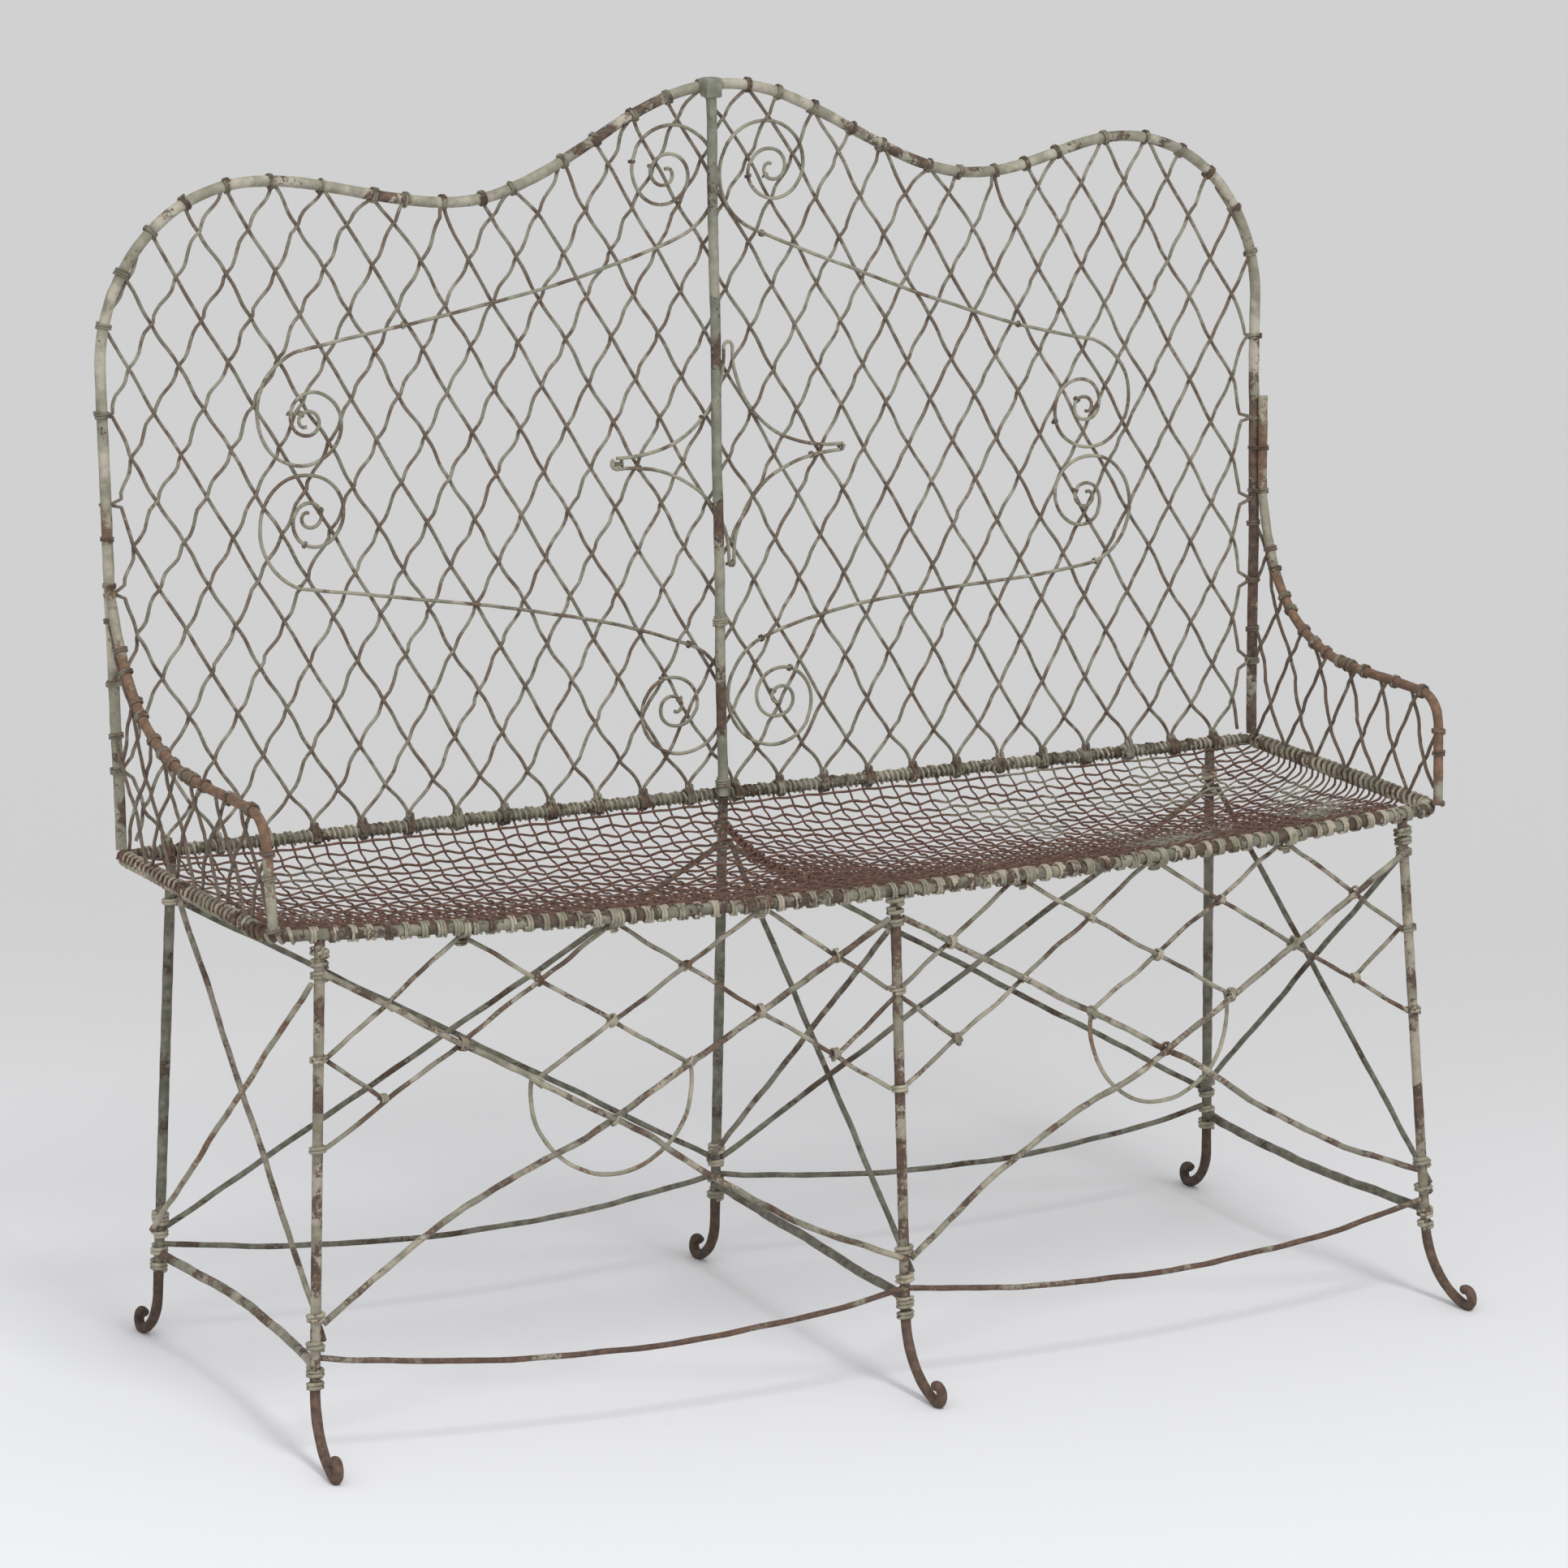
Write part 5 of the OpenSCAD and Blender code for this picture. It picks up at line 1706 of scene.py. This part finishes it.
@dataclass
class ArmWraps:
    """Turns of wire round both arm rods."""

    arms: tuple[Arm, Arm]
    wire: float = 2.1
    lashing_d: float = 1.6
    # Heights of the lashings to the stile, and shares of the rod at its turns
    lashings: tuple[float, ...] = (229.0, 268.0)
    shares: tuple[float, ...] = (0.3, 0.38, 0.47, 0.55, 0.63, 0.72, 0.8, 0.92)

    def build(self) -> None:
        """Builds the turns of both arms as one piece."""
        bundle = Bundle("arm_wraps", TIE_RUST, ("arm_ties",), sides=6, seed=130)
        dice = random.Random(31)
        for arm in self.arms:
            line = spaced([arm.at(y, v) for y, v in arm.profile()], 4.0)
            for v in self.lashings:
                stile = S.on_back(arm.side.value * S.stile_x(v), v)
                beside = arm.at(arm.stile_y(v) - S.arm_front, v)
                bundle.add(lashing(stile, beside, S.on_back(0, 1) - S.on_back(0, 0),
                                   arm.rod_d, self.lashing_d, 2.2), self.lashing_d,
                           rough=0.06)
            for share in self.shares:
                i = round(share * (len(line) - 1))
                bundle.wrap(line[i], line[i + 1] - line[i - 1], arm.rod_d, self.wire,
                            dice.choice((2.0, 2.6, 3.2)), dice, rough=0.08)
        bundle.build()


# Legs and what ties them together


@dataclass
class Leg:
    """One leg that runs straight down, kicks out and ends in a small curl."""

    top: Vector
    direction: Vector
    kick: Vector
    kick_r: float
    curl_r: float = 7.3
    kick_angle: float = 74.0
    curl_angle: float = 225.0
    worn_flat: float = 1.0

    @property
    def out(self) -> Vector:
        """Direction in which the foot kicks out, square to the leg."""
        return (self.kick - self.kick.dot(self.direction) * self.direction).normalized()

    def length(self) -> float:
        """Works out how long the straight part is, so that the foot just meets the ground.

        Returns:
            Its length.
        """
        a, r = rad(self.kick_angle), self.kick_r - self.curl_r
        offset = r * ((1 - math.cos(a)) * self.out + math.sin(a) * self.direction)
        offset += self.curl_r * self.out
        spread = math.hypot(self.out.z, self.direction.z)
        lowest = self.curl_r * spread + S.leg_d / 2 - self.worn_flat
        return (self.top.z + offset.z - lowest) / -self.direction.z

    def path(self) -> Path:
        """Lays out the leg.

        Returns:
            The points of its middle line from the seat to the curl's end.
        """
        def turned(centre: Vector, r: float, a: float) -> Vector:
            """A point of the foot's bends."""
            return centre + r * (math.sin(rad(a)) * self.direction - math.cos(rad(a)) * self.out)

        base = self.top + self.direction * self.length()
        bend = [turned(base + self.kick_r * self.out, self.kick_r, a)
                for a in even(0, self.kick_angle, 24)]
        a = rad(self.kick_angle)
        centre = bend[-1] + self.curl_r * (math.cos(a) * self.out - math.sin(a) * self.direction)
        curl = [turned(centre, self.curl_r, self.kick_angle + t)
                for t in even(6, self.curl_angle, 34)]
        return spaced([self.top, base], 5.0)[:-1] + bend + curl

    def at(self, h: float) -> Vector:
        """Returns the point of the leg's straight line at a height."""
        return self.top + self.direction * ((self.top.z - h) / -self.direction.z)


@dataclass
class Legs:
    """The six legs, and the points that the braces are tied to."""

    front_x: float = 520.0
    rear_x: float = 515.0
    mid_shift: float = 11.0
    rake: float = 0.1
    front_splay: float = 0.052
    rear_splay: float = 0.032
    turnout: float = 0.1
    front_kick_r: float = 68.0
    rear_kick_r: float = 40.0

    def __post_init__(self) -> None:
        """Sets out the six legs."""
        under = S.rod_r + S.gap
        self.front: dict[Side, Leg] = {}
        self.rear: dict[Side, Leg] = {}
        for side in Side:
            n = side.value
            x = -self.mid_shift if side is Side.CENTRE else n * self.front_x
            way = Vector((n * self.front_splay, -self.rake, -1)).normalized()
            kick = FORWARD + Vector((n * self.turnout, 0, 0))
            self.front[side] = Leg(S.front_rod(x) - under * UP, way, kick, self.front_kick_r)
            way = Vector((n * self.rear_splay, 0, -1)).normalized()
            top = Vector((n * self.rear_x, S.back_y, S.seat_h - under))
            if side is Side.CENTRE:
                top = S.on_back(S.post_x, 0, S.post_out) + 0.65 * DOWN
            self.rear[side] = Leg(top, way, -FORWARD, self.rear_kick_r)

    def build(self) -> None:
        """Builds the six legs."""
        for side in Side:
            name = side.name.lower()
            for row, leg, finish, wire, seed, rough in (
                    ("front", self.front[side], LEG_PAINT, S.leg_d - 0.25, 140, 0.03),
                    ("rear", self.rear[side], GREEN_PAINT, S.leg_d, 150, 0.035)):
                Bundle(f"{row}_{name}", finish, (f"{row}_{name}_leg",), sides=14,
                       seed=seed + side.value).add(leg.path(), wire, rough=rough).build(
                           flat_foot=True)


@dataclass
class Braces:
    """Crossed stays, stretchers between the feet and the turns that bind them to the legs."""

    legs: Legs
    stay_d: float = 5.0
    cross_d: float = 8.0
    high: float = 390.0
    low: float = 100.0
    cross_h: float = 78.0
    cross_bow: float = 14.0
    long_sag: float = 26.0
    # Heights of the turns round the post
    post_turns: tuple[int, ...] = (154, 12)
    post_turn_d: float = 2.4

    def build(self) -> None:
        """Builds every brace and binding."""
        self.side_stays()
        self.bay_stays()
        self.cross_stretchers()
        self.long_stretchers()
        self.bindings()

    def bar(self, name: str, finish: Weathered, node: str, a: Vector, b: Vector, wire: float,
            bow: Vector | None = None, seed: int = 1) -> None:
        """Builds one straight or bowed brace.

        Args:
            name: The piece's name.
            finish: Its finish.
            node: The CAD node that it stands for.
            a: Its first end.
            b: Its second end.
            wire: Its diameter.
            bow: How far and which way its middle bows.
            seed: Seed of its unevenness.
        """
        bow = bow or Vector()
        path = [a.lerp(b, t) + 4 * t * (1 - t) * bow for t in even(0, 1, 60)]
        Bundle(name, finish, (node,), sides=12, seed=seed).add(
            path, wire, step=5.0, bend=0.6, wave=170, rough=0.04).build()

    def side_stays(self) -> None:
        """Two crossed stays at each pair of legs."""
        beside = S.leg_d / 2 + self.stay_d / 2 + S.gap
        finishes = {Side.LEFT: (APRON_PAINT, ARM_RUST), Side.CENTRE: (GREEN_PAINT, TIE_RUST),
                    Side.RIGHT: (GREEN_PAINT, GREEN_PAINT)}
        for side in Side:
            name = side.name.lower()
            stem = "centre" if side is Side.CENTRE else f"{name}_side"
            for to_front in (True, False):
                shift = Vector((beside if to_front else -beside, 0, 0))
                rear_h, front_h = (self.high, self.low) if to_front else (self.low, self.high)
                end = "front" if to_front else "rear"
                self.bar(f"{name}_stay_{end}", finishes[side][0 if to_front else 1],
                         f"{stem}_stay_to_{end}_foot",
                         self.legs.rear[side].at(rear_h) + shift,
                         self.legs.front[side].at(front_h) + shift, self.stay_d,
                         seed=160 + 2 * side.value + to_front)

    def bay_stays(self) -> None:
        """Two crossed stays in each rear bay."""
        for side, left, right in ((Side.LEFT, Side.LEFT, Side.CENTRE),
                                  (Side.RIGHT, Side.CENTRE, Side.RIGHT)):
            name = side.name.lower()
            for rising in (True, False):
                out = Vector((0, (-1 if rising else 1) * (self.stay_d / 2 + 0.36), 0))
                a = self.legs.rear[left].at(self.low if rising else self.high)
                b = self.legs.rear[right].at(self.high if rising else self.low)
                inset = ((S.leg_d + self.stay_d) / 2 + 0.6) * (b - a).normalized()
                way = "rising" if rising else "falling"
                self.bar(f"rear_{name}_bay_{way}", GREEN_PAINT, f"rear_{name}_bay_stay_{way}",
                         a + inset * 0.6 + out, b - inset * 0.6 + out, self.stay_d,
                         seed=170 + 2 * side.value + rising)

    def cross_stretchers(self) -> None:
        """The heavier stretcher between the feet of each pair of legs."""
        for side in Side:
            a, b = self.legs.rear[side].at(self.cross_h), self.legs.front[side].at(self.cross_h)
            bow = Vector((-side.value * self.cross_bow, 0, 0))
            finish = APRON_PAINT if side is Side.LEFT else GREEN_PAINT
            name = f"{side.name.lower()}_cross_stretcher"
            self.bar(name + "_rod", finish, name, a, b, self.cross_d, bow=bow,
                     seed=180 + side.value)

    def long_stretchers(self) -> None:
        """Long stretchers along the front and the rear, which sag forward and down."""
        h = self.cross_h + self.cross_d / 2 + self.stay_d
        bow = Vector((0, -0.7071, -0.7071)) * self.long_sag
        for row, legs, finish in (("front", self.legs.front, STRETCHER_RUST),
                                  ("rear", self.legs.rear, GREEN_PAINT)):
            for name, a, b in (("left", legs[Side.LEFT], legs[Side.CENTRE]),
                               ("right", legs[Side.CENTRE], legs[Side.RIGHT])):
                self.bar(f"{row}_{name}_stretcher_rod", finish, f"{row}_{name}_stretcher",
                         a.at(h), b.at(h), self.stay_d, bow=bow, seed=190 + len(row) + len(name))

    def bindings(self) -> None:
        """Turns of wire round the legs wherever something is tied to them."""
        bundle = Bundle("leg_turns", BINDING_PAINT, ("leg_bindings",), sides=8, seed=200)
        dice = random.Random(77)
        wraps: list[tuple[Leg, float, float, float]] = []
        for side in Side:
            front, rear = self.legs.front[side], self.legs.rear[side]
            wraps += [(front, h, d, t) for h, d, t in (
                (415, 3.8, 1.8), (406, 3.6, 1.6), (396, 3.2, 2), (self.low + 20, 3.8, 2),
                (self.low - 4, 3.8, 1.8), (self.cross_h - 3, 3.4, 2.6),
                (self.cross_h - 14, 3.2, 2))]
            wraps += [(rear, h, d, t) for h, d, t in (
                (self.high + 13, 3.0, 3), (self.high - 4, 2.6, 2), (self.low + 10, 3.4, 3),
                (self.low - 3, 3.2, 2), (self.cross_h + 4, 3.4, 2), (self.cross_h - 10, 3.4, 2.6))]
            # Two more where the apron's wires are tied
            wraps += [(front, h, 3.0, 2) for h in ((256, 329) if side.value else (256, 340))]
        for leg, h, wire, turns in wraps:
            bundle.wrap(leg.at(h), leg.direction, S.leg_d, wire, turns, dice, rough=0.07)
        up = S.on_back(0, 300) - S.on_back(0, 0)
        for v in self.post_turns:
            at = S.on_back(S.post_x, v, S.post_out)
            bundle.add(collar(at, up, S.leg_d, self.post_turn_d, 3.0, seed=v, start=30),
                       self.post_turn_d, rough=0.08)
        bundle.build()


# The apron


@dataclass(frozen=True)
class Span:
    """One straight wire of the apron: its two ends as (d, h), its layer and its diameter."""

    d0: float
    h0: float
    d1: float
    h1: float
    out: float
    wire: float
    # How far its foot end bows up, or down where negative, and whether that is its last end
    bow: float = 0.0
    foot_last: bool = False
    # Share of its length at which the bow starts
    bow_from: float = 0.56

    def point(self, t: float) -> Pair:
        """Finds the place at a share of its length, bowed near the foot.

        Args:
            t: The share, from 0 to 1.

        Returns:
            The place as (d, h).
        """
        to_foot = t if self.foot_last else 1 - t
        part = max(0.0, to_foot - self.bow_from) / (1 - self.bow_from)
        lift = self.bow * math.sin(math.pi * part)
        return self.d0 + t * (self.d1 - self.d0), self.h0 + t * (self.h1 - self.h0) + lift

    def crossing(self, other: "Span") -> Pair | None:
        """Finds where this wire passes another.

        Args:
            other: The other wire.

        Returns:
            The place as (d, h), or None where they pass outside each other's ends.
        """
        a = np.array([[self.d1 - self.d0, other.d0 - other.d1],
                      [self.h1 - self.h0, other.h0 - other.h1]])
        if abs(np.linalg.det(a)) < 1:
            return None
        t, u = np.linalg.solve(a, [other.d0 - self.d0, other.h0 - self.h0])
        if not (0.02 < t < 1.03 and 0.02 < u < 1.03):
            return None
        return (float(self.d0 + t * (self.d1 - self.d0)), float(self.h0 + t * (self.h1 - self.h0)))


@dataclass
class Apron:
    """The wires between the front legs in one half: diagonals, lattice, ring and knots."""

    legs: Legs
    side: Side
    half: float = 260.0
    wire: float = 4.0
    diagonal_d: float = 5.5
    tie_pitch: float = 135.0
    # Heights of the seat rod, the knots, the diagonals' ends and the lowest wire ends
    top_h: float = 418.0
    knot_h: float = 296.0
    high_h: float = 400.0
    foot_h: float = 114.0
    low_h: float = 256.0
    ring_r: float = 72.0
    ring_mid_h: float = 281.0
    ring_open: float = 11.0

    def at(self, d: float, h: float, out: float = 0.0) -> Vector:
        """Returns a point of the apron.

        Args:
            d: Distance from the middle of this half towards the middle leg.
            h: Height above the ground.
            out: Distance out to the front.

        Returns:
            The point.
        """
        outer = self.legs.front[self.side].at(h)
        inner = self.legs.front[Side.CENTRE].at(h)
        return outer.lerp(inner, 0.5 + d / (2 * self.half)) + out * FORWARD

    def build(self) -> None:
        """Builds this half's wires."""
        name = self.side.name.lower()
        seed = 220 + self.side.value * 5
        off = (S.leg_d + self.diagonal_d) / 2 + S.gap
        back = off - self.diagonal_d - 1.2
        beside = S.leg_d / 2 + self.diagonal_d / 4 + S.gap
        ends = self.half - self.diagonal_d / 2
        # The one that falls to the right sags near its foot, and the other bows up
        left = self.side is Side.LEFT
        self.diagonals = (
            Span(-self.half, self.high_h, ends, self.foot_h, off, self.diagonal_d,
                 -12.0 if left else 14.0, True),
            Span(beside - self.half, self.foot_h, self.half - beside, self.high_h, back,
                 self.diagonal_d, 14.0 if left else -12.0))
        edge = self.half - S.leg_d / 2 - 2.0
        near, far, p = 0.2, -(self.wire + S.gap), self.tie_pitch
        self.wires = tuple(Span(*place, self.wire) for place in (
            (0, self.top_h, -edge, self.low_h, near), (2, self.top_h, edge, self.low_h, far),
            (-p, self.top_h, p / 2, self.knot_h, far),
            (p, self.top_h, -p / 2, self.knot_h, near),
            (-p - 2, self.top_h, -edge, 329, near), (p + 4, self.top_h, edge, 340, far),
            (-edge, 328, -1.5 * p, 291, far), (edge + 2.6, 333, 1.5 * p, 290, near)))
        for part, spans, node in (("diagonals", self.diagonals, "diagonals"),
                                  ("apron_wires", self.wires, "lattice")):
            bundle = Bundle(f"{name}_{part}", APRON_PAINT, (f"{name}_apron_{node}",), sides=10,
                            seed=seed)
            for span in spans:
                places = [span.point(t) for t in even(0, 1, 41)]
                bundle.add([self.at(d, h, span.out) for d, h in places], span.wire, step=5.0,
                           bend=0.8, wave=110, rough=0.05)
            bundle.build()
            seed += 7
        self.ring(name, back, seed + 2)

    def ring(self, name: str, back: float, seed: int) -> None:
        """Builds the ring that hangs open at its top between the two lower knots.

        Args:
            name: The side's name.
            back: How far out the rear diagonal lies.
            seed: Seed of its unevenness.
        """
        out = back - (self.diagonal_d + self.wire) / 2 - S.gap
        middle = self.at(0, self.ring_mid_h, out)
        along = (self.at(100, self.ring_mid_h) - self.at(0, self.ring_mid_h)).normalized()
        leg = self.legs.front[self.side].direction
        drop = (leg - leg.dot(along) * along).normalized()
        path = [middle + self.ring_r * (drop * math.sin(rad(a)) - along * math.cos(rad(a)))
                for a in even(-self.ring_open, 180 + self.ring_open, 70)]
        Bundle(f"{name}_ring", ARM_RUST, (f"{name}_apron_ring",), sides=10, seed=seed).add(
            path, self.wire - 0.3, step=4.0, bend=0.5, wave=100, rough=0.05).build()


@dataclass
class ApronKnots:
    """Turns of wire where the apron's wires meet each other and the front seat rod."""

    halves: tuple[Apron, Apron]
    # Wires of the knots where thick and thin wires cross
    wire: float = 2.2
    thin_d: float = 1.9
    most_core: float = 8.6
    # Height of the outermost knots
    outer_h: float = 291.0
    # Wires of the turns round the seat rod and of those just below it
    rod_turn_d: float = 3.2
    below_d: float = 2.4

    def build(self) -> None:
        """Builds the knots of both halves as one piece."""
        bundle = Bundle("apron_knots", BINDING_PAINT, ("stay_knots",), sides=8, seed=240)
        dice = random.Random(5)
        for half in self.halves:
            p = half.tie_pitch
            spans = half.wires + half.diagonals
            for n, one in enumerate(spans):
                for other in spans[n + 1 :]:
                    place = one.crossing(other)
                    if not place:
                        continue
                    a, b = half.at(one.d0, one.h0), half.at(one.d1, one.h1)
                    thick = abs(one.out - other.out) + (one.wire + other.wire) / 2
                    core = min(thick * 0.86, self.most_core)
                    wire = self.wire if core > 7 else self.thin_d
                    lean = dice.uniform(-0.8, 0.8) * UP
                    bundle.wrap(half.at(*place, (one.out + other.out) / 2),
                                (b - a).normalized() + lean, core, wire,
                                dice.choice((1.6, 2.2, 2.9)), dice, rough=0.1)
            for d in (-1.5 * p, 1.5 * p):
                bundle.add(collar(half.at(d, self.outer_h, -2.2), ACROSS, 5.4, self.wire, 2.6,
                                  seed=8, start=d), self.wire)
            for d in (-p, 0, p):
                x = half.at(d, half.top_h).x
                along = S.front_rod(x + 2) - S.front_rod(x - 2)
                bundle.wrap(S.front_rod(x) - 0.8 * UP, along, S.rod_d + 0.6, self.rod_turn_d, 2.6,
                            dice, rough=0.08)
                bundle.wrap(half.at(d, half.top_h - 5, -1.5), UP, 6.0, self.below_d, 2.2, dice,
                            rough=0.08)
        bundle.build()


# The studio


@dataclass
class Studio:
    """Pale floor with painted shade that darkens it behind the bench, even soft light and the
    camera at the photograph's angle.
    """

    yaw: float = 28.956
    pitch: float = 13.065
    roll: float = 1.218
    camera_at: tuple[float, float, float] = (-2728.2, -4863.5, 1775.0)
    lens: float = 154.67
    # The floor's own pale colour near the camera, and a darker grey far off that is painted shade,
    # not a real change of colour
    floor_near: str = "#eaebee"
    far_floor_painted_shade: str = "#c7c7c7"
    # Where the floor's painted shade starts and ends, in metres: it darkens the floor away from the
    # camera
    painted_shade_from: float = -2.0
    painted_shade_to: float = 3.2
    sky: str = "#f4f4f5"
    sky_strength: float = 0.76

    def build(self) -> None:
        """Builds the floor, the lights and the camera."""
        self.floor()
        self.lights()
        self.camera()

    def floor(self) -> None:
        """A wide floor whose colour is painted darker behind the bench, as painted shade for the
        light's falloff.
        """
        bpy.ops.object.select_all(action="DESELECT")
        bpy.ops.mesh.primitive_plane_add(size=80, location=(0, 0, 0))
        obj = bpy.context.object
        obj.name = "studio_floor"
        made = bpy.data.materials.new("Matt painted studio floor")
        made.use_nodes = True
        tree = made.node_tree
        tree.nodes.clear()
        place = add_node(tree, "ShaderNodeTexCoord").outputs["Object"]
        parts = add_node(tree, "ShaderNodeSeparateXYZ", None, {0: place})
        along = add_node(tree, "ShaderNodeMath", {"operation": "MULTIPLY", 1: 1.8},
                         {0: parts.outputs["Y"]})
        depth = add_node(tree, "ShaderNodeMath", {"operation": "ADD"},
                         {0: along.outputs[0], 1: parts.outputs["X"]})
        # Painted shade: the floor's colour darkens with distance behind the bench instead of the
        # lamps' light falling off
        painted_shade_ramp = add_node(tree, "ShaderNodeMapRange",
                        {"interpolation_type": "SMOOTHSTEP", 1: self.painted_shade_from, 2: self.painted_shade_to},
                        {0: depth.outputs[0]})
        mix = add_node(tree, "ShaderNodeMix", {
            "data_type": "RGBA", 6: colour(self.floor_near), 7: colour(self.far_floor_painted_shade)},
            {0: painted_shade_ramp.outputs[0]})
        shader = add_node(tree, "ShaderNodeBsdfPrincipled",
                          {"Roughness": 0.9, "Specular IOR Level": 0.1},
                          {"Base Color": mix.outputs[2]})
        add_node(tree, "ShaderNodeOutputMaterial", None, {"Surface": shader.outputs[0]})
        obj.data.materials.append(made)

    def lights(self) -> None:
        """An even grey sky and a soft lamp high in front, which casts faint shadows back."""
        world = bpy.context.scene.world or bpy.data.worlds.new("Studio")
        bpy.context.scene.world = world
        world.use_nodes = True
        back = world.node_tree.nodes["Background"]
        back.inputs["Color"].default_value = colour(self.sky)
        back.inputs["Strength"].default_value = self.sky_strength
        for name, strength, turn, size in (("key", 1.1, (30, 3, 0), 14),
                                           ("fill", 0.7, (45, -40, 0), 60)):
            bpy.ops.object.light_add(type="SUN", rotation=tuple(rad(a) for a in turn))
            lamp = bpy.context.object
            lamp.name = f"studio_{name}"
            lamp.data.energy = strength
            lamp.data.angle = rad(size)

    def camera(self) -> None:
        """A long lens low before the left end of the bench."""
        yaw, pitch, roll = rad(self.yaw), rad(self.pitch), rad(self.roll)
        look = Vector((math.sin(yaw) * math.cos(pitch), math.cos(yaw) * math.cos(pitch),
                       -math.sin(pitch)))
        level = Vector((math.cos(yaw), -math.sin(yaw), 0))
        above = level.cross(look)
        right = math.cos(roll) * level + math.sin(roll) * above
        top = -math.sin(roll) * level + math.cos(roll) * above
        bpy.ops.object.camera_add()
        camera = bpy.context.object
        camera.matrix_world = Matrix.Translation(Vector(self.camera_at) * MM) @ Matrix(
            (right, top, -look)).transposed().to_4x4()
        camera.data.lens = self.lens
        camera.data.sensor_width = 36.0
        camera.data.clip_end = 200.0
        bpy.context.scene.camera = camera
        bpy.context.scene.view_settings.view_transform = "Standard"


def main() -> None:
    """Builds the bench piece by piece and the studio round it."""
    logging.basicConfig(level=logging.INFO, format="%(message)s")
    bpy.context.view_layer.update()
    legs = Legs()
    arms = (Arm(Side.LEFT), Arm(Side.RIGHT))
    halves = (Apron(legs, Side.LEFT), Apron(legs, Side.RIGHT))
    ties = RimTies()
    for part in (Studio(), Back(ties), BackLattice(ties), ScrollWork(), Seat(), *arms,
                 ArmWraps(arms), legs, Braces(legs), *halves, ApronKnots(halves)):
        log.info("%s", type(part).__name__)
        part.build()


if __name__ == "__main__":
    main()
